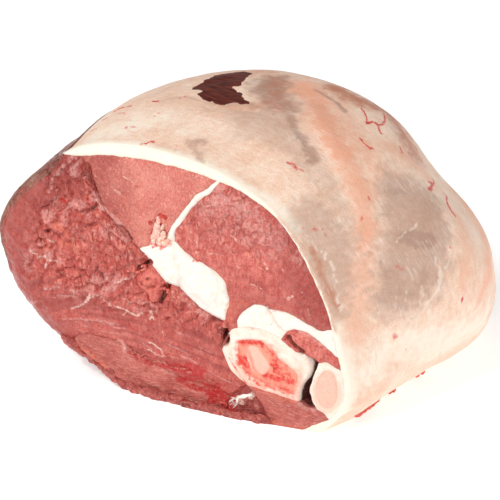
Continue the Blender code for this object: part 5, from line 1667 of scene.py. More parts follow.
FINISHES: dict[str, TissueFinish] = {
    # Thigh muscle cut across: dark, wet and lumpy, with short bundles of fibre.
    "dark_meat": TissueFinish("thigh_muscle_cut", "#C04A40", "#D86558", "#EC8375", 6.0, 1.6,
                              (1.0, 1.0, 1.8), MEAT_TINTS, (0.24, 0.44), 0.42, 1.2,
                              ("#F0AE9F", 0.35), Folds(3.0, "#A53029", "#EDA598", 0.1, 1.0, 0.5),
                              wet=0.7, spread=0.2),
    # Rump muscle: paler, with an even fine grain and small pale flecks.
    "pink_meat": TissueFinish("rump_muscle_cut", "#DB7468", "#EA897B", "#F39E8E", 8.0, 0.9,
                              (1.0, 1.0, 1.3), MEAT_TINTS, (0.38, 0.52), 0.3, 1.6,
                              ("#FCC8B5", 0.85), Folds(1.5, "#C2564B", "#F7B4A3", 0.7, 0.9, 0.6),
                              wet=0.35, spread=0.16),
    # Lower muscles cut along the fibre: long soft streaks.
    "red_meat": TissueFinish("lower_muscle_cut", "#BC574D", "#D27064", "#E2877A", 8.0, 1.1,
                             (3.4, 1.0, 0.9), MEAT_TINTS, (0.32, 0.5), 0.42, 1.5,
                             ("#EEB4A5", 0.5), Folds(1.8, "#A03A31", "#EBA294", 0.5, 1.1, 0.5),
                             wet=0.5, spread=0.18),
    # Soft white fat, cut clean.
    "fat": TissueFinish("intermuscular_fat_cut", "#FDF4E6", "#FFFAF0", "#FFFDF9", 9.0, 1.8,
                        (1.0, 1.0, 1.0), FAT_TINTS, (0.4, 0.55), 0.24, 2.2,
                        folds=Folds(4.2, "#F6DFCE", "#FFFFFC", 0.25, 0.6), wet=0.3),
    # Dense outer bone, sawn.
    "bone": TissueFinish("bone_wall_sawn", "#FADFCD", "#FEEADB", "#FFF6EC", 4.0, 0.9,
                         (1.0, 1.0, 1.0), BONE_TINTS, (0.38, 0.52), 0.14, 1.0, mottle=2.0),
    # Spongy bone full of red marrow.
    "spongy": TissueFinish("bone_marrow_sawn", "#F98F79", "#FDA791", "#FFC3AE", 3.6, 0.9,
                           (1.0, 1.0, 1.0), BONE_TINTS, (0.34, 0.48), 0.26, 1.2,
                           folds=Folds(1.0, "#F07A66", "#FFD2BE", 0.5, 0.7), mottle=2.0),
    # Lobes of lymph gland in its fat: cream to pink and soft.
    "gland": TissueFinish("gland_in_fat", "#F2766A", "#FBA08E", "#FFD2C0", 2.4, 0.9,
                          (1.0, 1.0, 1.0), FAT_TINTS, (0.28, 0.4), 0.3, 1.6,
                          folds=Folds(1.6, "#F08472", "#FFEADF", 0.6), wet=0.5, mottle=1.2),
    # The lobes themselves: cream, a little pink.
    "lobe": TissueFinish("gland_lobe", "#F99A86", "#FFCBB7", "#FFEFE4", 1.4, 0.6,
                         (1.0, 1.0, 1.0), (), (0.28, 0.4), 0.2, 1.6, wet=0.5, spread=0.22),
    # Ragged trimmed edge of the lowest muscle, darkened with painted shade where it hangs under the cut.
    "trimmed": TissueFinish("trimmed_meat_edge_in_painted_shade", "#8C2C26", "#AE453D", "#D07266", 3.0, 0.9,
                            (1.4, 1.0, 1.0), (), (0.26, 0.42), 0.35, 1.2, ("#E8A598", 0.3),
                            wet=0.6, spread=0.24),
    # Membranes deep between the bones, coloured dark with painted shade.
    "tissue": TissueFinish("joint_membrane_in_painted_shade", "#3E110D", "#561C15", "#7A382F", 5.0, 1.4,
                           (1.0, 1.0, 1.0), MEAT_TINTS, (0.34, 0.5), 0.4, 1.0),
}


@dataclass(frozen=True)
class SkinFinish:
    """The fell over the outside fat, joined to the white cut rim of that fat."""

    name: str = "fell_over_fat"

    def build(self) -> bpy.types.Material:
        """Builds the fell, the torn patch and the cut fat, and parts them."""
        fell = TissueFinish(self.name, "#EDC3AA", "#F7D4BD", "#FEE5D3", 14.0, 1.9,
                            (1.8, 1.0, 1.0), SKIN_TINTS, (0.42, 0.58), 0.36, 2.0, wet=0.08,
                            mottle=3.4, on_sheet=True)
        material = fell.build()
        tree = material.node_tree
        shader = next(n for n in tree.nodes if n.type == "BSDF_PRINCIPLED")
        below = shader.inputs["Base Color"].links[0].from_socket
        place = add(tree, "ShaderNodeAttribute", attribute_name="sheet").outputs["Vector"]
        # Hair-fine fibres of the fell, running round the leg.
        fibre_at = add(tree, "ShaderNodeMapping",
                       {"Vector": place, "Scale": (0.13, 1.5, 1.0),
                        "Rotation": (0.0, 0.0, 0.16)}).outputs[0]
        fibre = add(tree, "ShaderNodeTexNoise", {"Vector": fibre_at, "Scale": 1.0, "Detail": 3.0,
                                                 "Distortion": 1.4}).outputs[0]
        pale = add(tree, "ShaderNodeMapRange",
                   {"Value": fibre, "From Min": 0.53, "From Max": 0.72, "To Max": 0.45}).outputs[0]
        dusky = add(tree, "ShaderNodeMapRange",
                    {"Value": fibre, "From Min": 0.47, "From Max": 0.28, "To Max": 0.22}).outputs[0]
        # The fibres show in some areas and not in others.
        area = add(tree, "ShaderNodeTexNoise", {"Vector": place, "Scale": 0.07,
                                                "Detail": 2.0}).outputs[0]
        area = add(tree, "ShaderNodeMapRange",
                   {"Value": area, "From Min": 0.42, "From Max": 0.62},
                   interpolation_type="SMOOTHSTEP").outputs[0]
        pale = add(tree, "ShaderNodeMath", {0: pale, 1: area}, operation="MULTIPLY").outputs[0]
        dusky = add(tree, "ShaderNodeMath", {0: dusky, 1: area}, operation="MULTIPLY").outputs[0]
        below = add(tree, "ShaderNodeMix", {0: pale, 6: below, 7: linear("#FFF2E8")},
                    data_type="RGBA").outputs[2]
        below = add(tree, "ShaderNodeMix", {0: dusky, 6: below, 7: linear("#B98C7A")},
                    data_type="RGBA").outputs[2]
        # Dark dried meat, streaked, where the fell is torn away.
        streak_at = add(tree, "ShaderNodeMapping",
                        {"Vector": place, "Scale": (0.16, 0.8, 1.0)}).outputs[0]
        streak = add(tree, "ShaderNodeTexNoise", {"Vector": streak_at, "Scale": 1.0,
                                                  "Detail": 4.0}).outputs[0]
        dried = add(tree, "ShaderNodeValToRGB", {"Fac": streak})
        dried.color_ramp.elements[0].position = 0.38
        dried.color_ramp.elements[0].color = linear("#480C04")
        dried.color_ramp.elements[1].position = 0.72
        dried.color_ramp.elements[1].color = linear("#7E321F")
        torn = add(tree, "ShaderNodeAttribute", attribute_name=Layer.MAROON.value).outputs["Fac"]
        torn = add(tree, "ShaderNodeMapRange",
                   {"Value": torn, "From Min": 0.35, "From Max": 0.6},
                   interpolation_type="SMOOTHSTEP").outputs[0]
        below = add(tree, "ShaderNodeMix", {0: torn, 6: below, 7: dried.outputs[0]},
                    data_type="RGBA").outputs[2]
        spot = add(tree, "ShaderNodeTexCoord").outputs["Object"]
        soft = add(tree, "ShaderNodeTexNoise", {"Vector": spot, "Scale": 220.0}).outputs[0]
        ramp = add(tree, "ShaderNodeValToRGB", {"Fac": soft})
        ramp.color_ramp.elements[0].color = linear("#FCEFDB")
        ramp.color_ramp.elements[1].color = linear("#FFFAEE")
        bare = add(tree, "ShaderNodeAttribute", attribute_name=Layer.BARE.value).outputs["Fac"]
        share = add(tree, "ShaderNodeMapRange",
                    {"Value": bare, "From Min": 0.35, "From Max": 0.9},
                    interpolation_type="SMOOTHSTEP").outputs[0]
        mixed = add(tree, "ShaderNodeMix", {0: share, 6: ramp.outputs[0], 7: below},
                    data_type="RGBA").outputs[2]
        tree.links.new(mixed, shader.inputs["Base Color"])
        return material


# ------------------------------------------------------------------ small pieces
class TubeTree:
    """Geometry Nodes: a tapering round strand along each line of a mesh of lines."""

    NAME = "strands_along_lines"

    @classmethod
    def tree(cls) -> bpy.types.NodeTree:
        """The node tree, made once."""
        found = bpy.data.node_groups.get(cls.NAME)
        if found:
            return found
        tree = bpy.data.node_groups.new(cls.NAME, "GeometryNodeTree")
        tree.is_modifier = True
        face = tree.interface
        face.new_socket("Geometry", in_out="INPUT", socket_type="NodeSocketGeometry")
        face.new_socket("Width", in_out="INPUT", socket_type="NodeSocketFloat")
        face.new_socket("Sides", in_out="INPUT", socket_type="NodeSocketInt")
        face.new_socket("Material", in_out="INPUT", socket_type="NodeSocketMaterial")
        face.new_socket("Geometry", in_out="OUTPUT", socket_type="NodeSocketGeometry")
        source = add(tree, "NodeGroupInput").outputs
        curve = add(tree, "GeometryNodeMeshToCurve", {"Mesh": source["Geometry"]}).outputs[0]
        thick = add(tree, "GeometryNodeInputNamedAttribute", {"Name": "thickness"},
                    data_type="FLOAT").outputs[0]
        radius = add(tree, "ShaderNodeMath", {0: thick, 1: source["Width"]},
                     operation="MULTIPLY").outputs[0]
        ring = add(tree, "GeometryNodeCurvePrimitiveCircle",
                   {"Resolution": source["Sides"], "Radius": 1.0}).outputs[0]
        tube = add(tree, "GeometryNodeCurveToMesh",
                   {"Curve": curve, "Profile Curve": ring, "Scale": radius,
                    "Fill Caps": True}).outputs[0]
        whole = add(tree, "GeometryNodeRealizeInstances", {"Geometry": tube}).outputs[0]
        dressed = add(tree, "GeometryNodeSetMaterial",
                      {"Geometry": whole, "Material": source["Material"]}).outputs[0]
        tree.links.new(dressed, add(tree, "NodeGroupOutput").inputs[0])
        return tree


class LumpTree:
    """Geometry Nodes: a soft uneven lump at each point, by its own reach and turn."""

    NAME = "lumps_at_points"

    @classmethod
    def tree(cls) -> bpy.types.NodeTree:
        """The node tree, made once."""
        found = bpy.data.node_groups.get(cls.NAME)
        if found:
            return found
        tree = bpy.data.node_groups.new(cls.NAME, "GeometryNodeTree")
        tree.is_modifier = True
        face = tree.interface
        face.new_socket("Geometry", in_out="INPUT", socket_type="NodeSocketGeometry")
        face.new_socket("Unevenness", in_out="INPUT", socket_type="NodeSocketFloat")
        face.new_socket("Lump Size", in_out="INPUT", socket_type="NodeSocketFloat")
        face.new_socket("Seed", in_out="INPUT", socket_type="NodeSocketInt")
        face.new_socket("Material", in_out="INPUT", socket_type="NodeSocketMaterial")
        face.new_socket("Geometry", in_out="OUTPUT", socket_type="NodeSocketGeometry")
        source = add(tree, "NodeGroupInput").outputs
        ball = add(tree, "GeometryNodeMeshIcoSphere", {"Radius": 1.0, "Subdivisions": 4}).outputs[0]
        reach = add(tree, "GeometryNodeInputNamedAttribute", {"Name": "reach"},
                    data_type="FLOAT_VECTOR").outputs[0]
        turn = add(tree, "GeometryNodeInputNamedAttribute", {"Name": "turn"},
                   data_type="FLOAT_VECTOR").outputs[0]
        points = add(tree, "GeometryNodeMeshToPoints", {"Mesh": source["Geometry"]}).outputs[0]
        set_out = add(tree, "GeometryNodeInstanceOnPoints",
                      {"Points": points, "Instance": ball, "Rotation": turn,
                       "Scale": reach}).outputs[0]
        whole = add(tree, "GeometryNodeRealizeInstances", {"Geometry": set_out}).outputs[0]
        place = add(tree, "GeometryNodeInputPosition").outputs[0]
        shift = add(tree, "ShaderNodeVectorMath", {0: place, 1: source["Seed"]}).outputs[0]
        scale = add(tree, "ShaderNodeMath", {0: 1.0, 1: source["Lump Size"]},
                    operation="DIVIDE").outputs[0]
        noise = add(tree, "ShaderNodeTexNoise", {"Vector": shift, "Scale": scale,
                                                 "Detail": 2.0}).outputs["Color"]
        centred = add(tree, "ShaderNodeVectorMath", {0: noise, 1: (0.5, 0.5, 0.5)},
                      operation="SUBTRACT").outputs[0]
        offset = add(tree, "ShaderNodeVectorMath", {0: centred, "Scale": source["Unevenness"]},
                     operation="SCALE").outputs[0]
        moved = add(tree, "GeometryNodeSetPosition", {"Geometry": whole, "Offset": offset}).outputs[0]
        smoothed = add(tree, "GeometryNodeSetShadeSmooth", {"Geometry": moved}).outputs[0]
        dressed = add(tree, "GeometryNodeSetMaterial",
                      {"Geometry": smoothed, "Material": source["Material"]}).outputs[0]
        tree.links.new(dressed, add(tree, "NodeGroupOutput").inputs[0])
        return tree


def grown(name: str, seed_mesh: bpy.types.Mesh, tree: bpy.types.NodeTree,
          values: dict[str, Value]) -> bpy.types.Object:
    """The plain mesh a node tree grows from a seed mesh.

    Args:
        name: the finished object's name.
        seed_mesh: lines or points with the attributes the tree reads.
        tree: the node tree.
        values: its inputs by name.

    Returns:
        An object at the origin with no modifier.
    """
    seed = bpy.data.objects.new(name + "_seed", seed_mesh)
    bpy.context.scene.collection.objects.link(seed)
    modifier = seed.modifiers.new("grow", "NODES")
    modifier.node_group = tree
    for item in tree.interface.items_tree:
        if item.in_out == "INPUT" and item.name in values:
            modifier[item.identifier] = values[item.name]
    bpy.context.view_layer.update()
    evaluated = seed.evaluated_get(bpy.context.evaluated_depsgraph_get())
    mesh = bpy.data.meshes.new_from_object(evaluated)
    mesh.name = name
    seed.modifiers.remove(modifier)
    bpy.data.objects.remove(seed, do_unlink=True)
    thing = bpy.data.objects.new(name, mesh)
    bpy.context.scene.collection.objects.link(thing)
    mesh.shade_smooth()
    return thing


@dataclass(frozen=True)
class Lump:
    """A soft lump: where it is on the cut face, how far out, its reach and turn."""

    at: tuple[float, float]
    out: float
    reach: tuple[float, float, float]
    turn: float = 0.0


@dataclass
class GlandLobes:
    """Soft cream lobes of the gland, standing out of the cut."""

    lobes: tuple[Lump, ...] = (
        Lump((75.3, 85.2), 1.1, (1.7, 1.5, 4.1), 2.0),
        Lump((78.1, 83.2), 1.0, (1.35, 1.3, 2.4), -10.0),
        Lump((79.2, 80.3), 1.0, (2.3, 1.3, 1.3), 24.0),
        Lump((73.3, 80.4), 0.9, (1.3, 1.2, 2.6), 8.0),
        Lump((76.2, 79.6), 1.0, (1.6, 1.2, 1.5), 0.0),
        Lump((75.9, 90.0), 0.8, (0.9, 0.9, 2.0), 4.0),
        Lump((77.7, 87.0), 0.8, (0.8, 0.9, 1.7), -14.0),
        Lump((74.4, 82.4), 0.7, (1.5, 1.1, 1.9), 20.0),
        Lump((76.8, 81.6), 0.8, (1.3, 1.1, 1.6), -20.0),
        Lump((80.6, 79.0), 0.7, (1.6, 1.0, 0.9), 30.0),
    )

    def build(self, shape: LegShape, material: bpy.types.Material) -> bpy.types.Object:
        """Grows the lobes."""
        return lumps("gland_lobes", self.lobes, shape, material, 1.25, 1.5)


@dataclass
class FatStrands:
    """White strands at the tip of the seam fat and the fan of membrane at the flap."""

    strands: tuple[Lump, ...] = (
        Lump((72.6, 74.4), 0.9, (4.4, 0.8, 0.75), 33.0),
        Lump((68.4, 73.4), 0.6, (1.5, 0.6, 0.6), -30.0),
        Lump((73.0, 71.8), 0.6, (2.2, 0.6, 0.55), 40.0),
        Lump((113.6, 8.6), 1.1, (2.0, 0.7, 1.2), 62.0),
        Lump((116.0, 10.6), 1.1, (2.2, 0.6, 1.0), 30.0),
        Lump((118.8, 11.6), 0.9, (1.6, 0.5, 0.8), 10.0),
    )

    def build(self, shape: LegShape, material: bpy.types.Material) -> bpy.types.Object:
        """Grows the strands."""
        return lumps("fat_strands", self.strands, shape, material, 0.45, 1.4)


@dataclass
class FanThreads:
    """Fine white threads fanning from the tuft of membrane down over the flap."""

    root: tuple[float, float] = (113.8, 9.0)
    count: int = 20
    width: float = 0.09
    seed: int = 51

    def build(self, shape: LegShape, flap: bpy.types.Object,
              material: bpy.types.Material) -> bpy.types.Object:
        """Lays the threads on the flap, a little proud of it."""
        tree = BVHTree.FromObject(flap, bpy.context.evaluated_depsgraph_get())
        draw = np.random.default_rng(self.seed)
        lines = []
        for k in range(self.count):
            angle = math.radians(186 + 66 * k / (self.count - 1) + draw.uniform(-3, 3))
            long = draw.uniform(4.0, 7.5)
            away = np.linspace(0, long, 12)
            bend = 0.25 * np.sin(away * 0.9 + k)
            x = self.root[0] + away * math.cos(angle) - bend * math.sin(angle)
            z = self.root[1] + away * math.sin(angle) + bend * math.cos(angle)
            flat = shape.carry(np.stack([x, np.maximum(z, 1.0)], 1), 0.0)
            flat[:, 1] -= 1.5
            lines.append(flat)
        return strands_along("fan_threads", lines, tree, material, self.width, -0.05)


@dataclass
class FootShreds:
    """The ragged lower edge of the cut end, where small lumps of meat hang out.

    Attributes:
        line: the line they hang along, on the cut.
        spacing: the distance between them.
        long, thick: the range of their half lengths and half thicknesses.
        out: how far they stand out of the cut.
        seed: their own random order.
    """

    line: Points = ((27.0, 19.6), (32.5, 15.8), (39.5, 12.2), (45.5, 8.6), (50.5, 6.0),
                    (56.0, 3.6), (63.0, 2.0), (73.0, 1.5), (84.0, 1.5), (96.0, 1.4), (104.0, 1.3),
                    (112.0, 1.3), (120.0, 1.2), (128.0, 1.2))
    spacing: float = 2.0
    long: tuple[float, float] = (1.8, 4.8)
    thick: tuple[float, float] = (1.2, 2.8)
    out: float = 1.3
    seed: int = 11

    def build(self, shape: LegShape, material: bpy.types.Material) -> bpy.types.Object:
        """Grows lumps of uneven size along the foot of the cut end."""
        line = evenly(catmull_rom(self.line, 8), self.spacing)
        draw = np.random.default_rng(self.seed)
        made = []
        for k, p in enumerate(line[:-1]):
            ahead = line[k + 1] - p
            spot = p + draw.uniform(-0.9, 0.9, 2)
            spot[1] = max(spot[1], 1.2)
            turn = math.degrees(math.atan2(ahead[1], ahead[0])) + draw.uniform(-30, 30)
            made.append(Lump((float(spot[0]), float(spot[1])), self.out + draw.uniform(-0.7, 0.6),
                             (draw.uniform(*self.long), draw.uniform(0.9, 1.7),
                              draw.uniform(*self.thick)), turn))
        return lumps("foot_shreds", tuple(made), shape, material, 1.3, 1.8)


@dataclass
class SeamRag:
    """Torn flakes of meat and membrane along a crevice of the cut end."""

    line: Points
    count: int = 14
    spread: float = 1.2
    long: tuple[float, float] = (0.8, 2.2)
    thick: tuple[float, float] = (0.35, 0.8)
    out: float = 0.7
    seed: int = 21

    def build(self, name: str, shape: LegShape, material: bpy.types.Material) -> bpy.types.Object:
        """Grows the flakes."""
        line = catmull_rom(self.line, 12)
        draw = np.random.default_rng(self.seed)
        made = []
        for k in np.linspace(0, len(line) - 2, self.count).astype(int):
            ahead = line[k + 1] - line[k]
            spot = line[k] + draw.normal(0, self.spread / 2, 2)
            turn = math.degrees(math.atan2(ahead[1], ahead[0])) + draw.normal(0, 22)
            made.append(Lump((float(spot[0]), float(spot[1])), self.out * draw.uniform(0.5, 1.2),
                             (draw.uniform(*self.long), draw.uniform(0.4, 0.8),
                              draw.uniform(*self.thick)), turn))
        return lumps(name, tuple(made), shape, material, 0.8, 1.2)


@dataclass
class BaseShreds:
    """Small red shreds where the skin meets the board on the right."""

    places: Points = ((-31.0, 13.0), (-31.6, 15.0), (-31.8, 17.0), (-32.0, 19.5), (-31.8, 22.0),
                      (-32.0, 25.0), (-31.8, 28.0), (-32.0, 38.0), (-31.8, 40.0), (-31.6, 56.0),
                      (-31.4, 59.0))
    seed: int = 31

    def build(self, shape: LegShape, skin: bpy.types.Object,
              material: bpy.types.Material) -> bpy.types.Object:
        """Grows the shreds just above the board, tucked against the skin."""
        tree = BVHTree.FromObject(skin, bpy.context.evaluated_depsgraph_get())
        draw = np.random.default_rng(self.seed)
        where, reach, turn = [], [], []
        for degrees, depth in self.places:
            at = shape.on_side(degrees, depth)
            at[2] = draw.uniform(1.0, 2.0)
            spot, normal, _, _ = tree.find_nearest(Vector(at * MM))
            where.append(np.array(spot + 0.3 * MM * normal) / MM)
            reach.append((draw.uniform(0.5, 1.0), draw.uniform(1.2, 2.4), draw.uniform(0.5, 1.0)))
            turn.append((draw.uniform(-0.2, 0.2), draw.uniform(-0.4, 0.4), draw.uniform(-0.4, 0.2)))
        return lumps_at("base_shreds", np.array(where), np.array(reach), np.array(turn), material,
                        0.9, 1.2)


@dataclass
class FlankFibres:
    """Hair-fine strands of dried membrane over the bare flank."""

    count: int = 90
    width: float = 0.12
    seed: int = 41

    def build(self, shape: LegShape, flank: bpy.types.Object,
              material: bpy.types.Material) -> bpy.types.Object:
        """Lays fine strands round the flank, a little above it."""
        tree = BVHTree.FromObject(flank, bpy.context.evaluated_depsgraph_get())
        draw = np.random.default_rng(self.seed)
        strands = []
        for _ in range(self.count):
            start = draw.uniform(133, 196)
            span = draw.uniform(7, 22)
            depth = 0.6 + 22 * draw.uniform(0, 1) ** 1.6
            slope = draw.uniform(-0.10, 0.16)
            degrees = np.linspace(start, min(start + span, 206), 14)
            depths = np.maximum(depth + slope * (degrees - start)
                                + 0.3 * np.sin(degrees * 0.5 + depth), 0.3)
            strands.append(np.stack([degrees, depths], 1))
        lines = [np.array([shape.on_side(degrees, depth) for degrees, depth in strand])
                 for strand in strands]
        # Some turn over the edge and lie on the cut.
        for _ in range(self.count):
            start, span = draw.uniform(133, 172), draw.uniform(6, 16)
            inward = 0.2 + 4.2 * draw.uniform(0, 1) ** 1.5
            slope = draw.uniform(-0.1, 0.1)
            line = []
            for degrees in np.linspace(start, start + span, 12):
                x, z = shape.on_skin(degrees)
                drawn = max(inward + slope * (degrees - start), 0.1)
                part = 1 - drawn / math.hypot(x - CENTRE[0], z - CENTRE[1])
                line.append((CENTRE[0] + part * (x - CENTRE[0]), CENTRE[1] + part * (z - CENTRE[1])))
            flat = shape.carry(np.array(line), 0.0)
            flat[:, 1] -= 1.0
            lines.append(flat)
        return strands_along("flank_fibres", lines, tree, material, self.width, -0.06)


def strands_on(name: str, strands: Sequence[Array], shape: LegShape, tree: BVHTree,
               material: bpy.types.Material, width: float, sink: float) -> bpy.types.Object:
    """Tapering strands laid on a surface along lines of degrees and depth."""
    lines = [np.array([shape.on_side(degrees, depth) for degrees, depth in line])
             for line in strands]
    return strands_along(name, lines, tree, material, width, sink)


def strands_along(name: str, lines: Sequence[Array], tree: BVHTree, material: bpy.types.Material,
                  width: float, sink: float) -> bpy.types.Object:
    """Tapering strands drawn onto the nearest surface along lines in millimetres."""
    verts: list[tuple[float, ...]] = []
    edges: list[tuple[int, int]] = []
    thick: list[float] = []
    for line in lines:
        first = len(verts)
        for k, rough in enumerate(line):
            spot, normal, _, _ = tree.find_nearest(Vector(rough * MM))
            verts.append(tuple(spot - normal * sink * MM))
            taper = 0.25 + 0.75 * math.sin(math.pi * (k + 0.5) / len(line)) ** 0.5
            thick.append(taper * (0.8 + 0.4 * math.sin(1.9 * k + first)))
            if k:
                edges.append((first + k - 1, first + k))
    mesh = bpy.data.meshes.new(name + "_lines")
    mesh.from_pydata(verts, edges, [])
    attribute = mesh.attributes.new("thickness", "FLOAT", "POINT")
    attribute.data.foreach_set("value", thick)
    return grown(name, mesh, TubeTree.tree(),
                 {"Width": width * MM, "Sides": 8, "Material": material})


def lumps(name: str, items: Sequence[Lump], shape: LegShape, material: bpy.types.Material,
          unevenness: float, lump_size: float) -> bpy.types.Object:
    """Lumps standing on the cut face, as one plain mesh."""
    where = shape.carry(np.array([item.at for item in items]), 0.0)
    where[:, 1] -= [item.out for item in items]
    turns = np.array([(0.0, -math.radians(i.turn), 0.0) for i in items])
    return lumps_at(name, where, np.array([i.reach for i in items]), turns, material, unevenness,
                    lump_size)


def lumps_at(name: str, where: Array, reach: Array, turns: Array, material: bpy.types.Material,
             unevenness: float, lump_size: float) -> bpy.types.Object:
    """Lumps at points of the row frame, as one plain mesh."""
    mesh = bpy.data.meshes.new(name + "_points")
    mesh.from_pydata((where * MM).tolist(), [], [])
    sizes = mesh.attributes.new("reach", "FLOAT_VECTOR", "POINT")
    sizes.data.foreach_set("vector", (reach * MM).ravel())
    turn = mesh.attributes.new("turn", "FLOAT_VECTOR", "POINT")
    turn.data.foreach_set("vector", turns.ravel())
    return grown(name, mesh, LumpTree.tree(),
                 {"Unevenness": unevenness * MM, "Lump Size": lump_size * MM, "Seed": 3,
                  "Material": material})


@dataclass
class SkinVessels:
    """Small blood vessels lying just under the fell, raised a little along their length."""

    width: float = 0.27
    step: float = 0.8

    def build(self, shape: LegShape, skin: bpy.types.Object,
              material: bpy.types.Material) -> bpy.types.Object:
        """Lays a tapering strand on the skin along each strong painted vessel."""
        tree = BVHTree.FromObject(skin, bpy.context.evaluated_depsgraph_get())
        strands = []
        for mark in SKIN_STROKES:
            if mark.layer is not Layer.VEIN or len(mark.points) < 3 or mark.strength < 0.7:
                continue
            line = evenly(catmull_rom(mark.points, 8), self.step)
            line = line + 0.5 * np.stack([lattice_noise(line, 2.2, 61),
                                          lattice_noise(line, 2.2, 62)], 1)
            strands.append(np.stack([line[:, 0] / SKIN_MM_PER_DEGREE, np.maximum(line[:, 1], 0)], 1))
        return strands_on("skin_vessels", strands, shape, tree, material, self.width, 0.10)


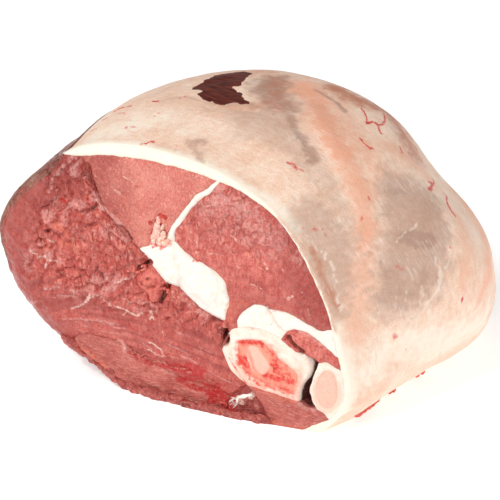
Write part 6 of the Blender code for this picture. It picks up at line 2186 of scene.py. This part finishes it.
# ------------------------------------------------------------------ studio
@dataclass
class Studio:
    """A pale floor, soft light and the camera, placed in the cut end's own millimetres."""

    camera_at: tuple[float, float, float] = (419.264, -708.566, 493.231)
    looks_at: tuple[float, float, float] = (108.769, 22.916, 70.706)
    lens: float = 147.27
    sensor: float = 36.0

    def set_up(self) -> None:
        """Places the camera, the lights, the floor and the surrounding light."""
        scene = bpy.context.scene
        scene.view_settings.view_transform = "Standard"
        at = (np.array(self.camera_at) - STANDS_AT) * MM
        target = (np.array(self.looks_at) - STANDS_AT) * MM
        data = bpy.data.cameras.new("camera")
        data.sensor_width = self.sensor
        data.lens = self.lens
        camera = bpy.data.objects.new("camera", data)
        camera.location = Vector(at)
        camera.rotation_euler = Vector(target - at).to_track_quat("-Z", "Y").to_euler()
        scene.collection.objects.link(camera)
        scene.camera = camera
        world = bpy.data.worlds.new("studio")
        world.use_nodes = True
        background = world.node_tree.nodes["Background"]
        background.inputs[0].default_value = (1.0, 1.0, 1.0, 1.0)
        background.inputs[1].default_value = 0.33
        scene.world = world
        self._lamp("key", (-0.62, -0.50, 1.00), 0.35, 4.7, target)
        self._lamp("fill", (1.0, -0.15, 0.5), 0.8, 3.3, target)
        self._lamp("front", (-0.50, -1.05, 0.40), 0.4, 1.4, target)
        self._lamp("glint", (-0.20, -0.75, 0.95), 0.05, 3.5, target)
        self._lamp("rim", (0.90, 0.70, 0.40), 0.6, 1.0, target)
        self._floor()

    @staticmethod
    def _lamp(name: str, at: tuple[float, float, float], size: float, watts: float,
              target: Array) -> None:
        """A square soft light aimed at the leg."""
        data = bpy.data.lights.new(name, "AREA")
        data.size = size
        data.energy = watts
        data.color = (1.0, 0.975, 0.94)
        lamp = bpy.data.objects.new(name, data)
        lamp.location = at
        lamp.rotation_euler = (Vector(target) - Vector(at)).to_track_quat("-Z", "Y").to_euler()
        bpy.context.scene.collection.objects.link(lamp)

    @staticmethod
    def _floor() -> None:
        """A wide pale floor."""
        mesh = bpy.data.meshes.new("floor")
        r = 6.0
        mesh.from_pydata([(-r, -r, 0), (r, -r, 0), (r, r, 0), (-r, r, 0)], [], [(0, 1, 2, 3)])
        material = bpy.data.materials.new("pale_paper")
        material.use_nodes = True
        tree = material.node_tree
        shader = tree.nodes["Principled BSDF"]
        place = add(tree, "ShaderNodeTexCoord").outputs["Object"]
        grain = add(tree, "ShaderNodeTexNoise", {"Vector": place, "Scale": 900.0}).outputs[0]
        ramp = add(tree, "ShaderNodeValToRGB", {"Fac": grain})
        ramp.color_ramp.elements[0].color = linear("#F6F6F6")
        ramp.color_ramp.elements[1].color = linear("#FCFCFC")
        tree.links.new(ramp.outputs[0], shader.inputs["Base Color"])
        shader.inputs["Roughness"].default_value = 0.9
        # Lit a little from below, as a light table is.
        shader.inputs["Emission Color"].default_value = (1.0, 1.0, 1.0, 1.0)
        shader.inputs["Emission Strength"].default_value = 0.42
        mesh.materials.append(material)
        floor = bpy.data.objects.new("floor", mesh)
        bpy.context.scene.collection.objects.link(floor)
        floor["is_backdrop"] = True


def main() -> None:
    """Builds the leg over its frame and reports each piece."""
    logging.basicConfig(level=logging.INFO, format="%(name)s: %(message)s")
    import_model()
    cad_box = [list(corner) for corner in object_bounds()]
    box = tuple(np.array(corner) / MM for corner in cad_box)
    Studio().set_up()
    materials = {name: finish.build() for name, finish in FINISHES.items()}
    materials["skin"] = SkinFinish().build()
    shape = LegShape()
    builder = PieceBuilder(shape, SeamMap(shape))
    leg = LegObject(shape, materials, box)
    made: dict[str, bpy.types.Object] = {}
    for number, piece in enumerate(PIECES):
        for part, surface in builder.build(piece, 100 + 7 * number):
            thing = leg.make(part, surface, 300 + number)
            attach(thing, "root")
            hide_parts(part.node)
            LOG.info("%s: %d faces", part.node, len(thing.data.polygons))
            made[part.node] = thing
    extras = (
        (GlandLobes().build(shape, materials["lobe"]), "gland"),
        (FatStrands().build(shape, materials["fat"]), "fat"),
        (FootShreds().build(shape, materials["trimmed"]), "meat"),
        (SeamRag(((60, 20.6), (70, 19), (80, 17.4), (90, 17), (100, 15))).build(
            "torn_flakes", shape, materials["red_meat"]), "meat"),
        (SeamRag(((66, 63), (69.6, 66.8)), 5, 1.0, seed=22).build(
            "crevice_flakes", shape, materials["dark_meat"]), "meat"),
        (SeamRag(((73, 54), (78, 57), (79, 52)), 7, 1.4, (0.9, 2.0), (0.6, 1.1), seed=23).build(
            "knob_flakes", shape, materials["dark_meat"]), "meat"),
        (BaseShreds().build(shape, made["fat_cover"], shred_material()), "meat"),
        (FlankFibres().build(shape, made["left_muscle"], fibre_material()), "meat"),
        (FanThreads().build(shape, made["flap_muscle"], materials["fat"]), "fat"),
        (SkinVessels().build(shape, made["fat_cover"], vessel_material()), "fat"),
    )
    for thing, slot in extras:
        keep_inside(thing, box)
        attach(thing, "root")
        LOG.info("%s: %d faces", thing.name, len(thing.data.polygons))


def keep_inside(thing: bpy.types.Object, box: tuple[Array, Array]) -> None:
    """Keeps a small piece inside the box of the solids."""
    count = len(thing.data.vertices)
    verts = np.zeros(count * 3, np.float32)
    thing.data.vertices.foreach_get("co", verts)
    verts = np.clip(verts.reshape(-1, 3), (box[0] + 0.02) * MM, (box[1] - 0.02) * MM)
    thing.data.vertices.foreach_set("co", verts.astype(np.float32).ravel())
    thing.data.update()


def shred_material() -> bpy.types.Material:
    """Bright red scraps of meat."""
    return TissueFinish("red_meat_scrap", "#D9483C", "#EA5F50", "#F48674", 3.0, 0.8,
                        (1.0, 1.0, 1.0), (), (0.35, 0.5), 0.3, 1.4).build()


def fibre_material() -> bpy.types.Material:
    """Dried membrane: greyish tan."""
    return TissueFinish("dried_membrane_fibre", "#6E4438", "#9A6C5C", "#C8A08E", 5.0, 1.0,
                        (1.0, 1.0, 1.0), (), (0.4, 0.6), 0.05, 0.5).build()


def vessel_material() -> bpy.types.Material:
    """Blood seen through a vessel's thin wall: deep pink and a little glossy."""
    finish = TissueFinish("small_blood_vessel", "#CC3632", "#E4564C", "#F28C7C", 2.0, 0.7,
                          (1.0, 1.0, 1.0), (), (0.35, 0.5), 0.1, 1.0)
    return finish.build()


if __name__ == "__main__":
    main()
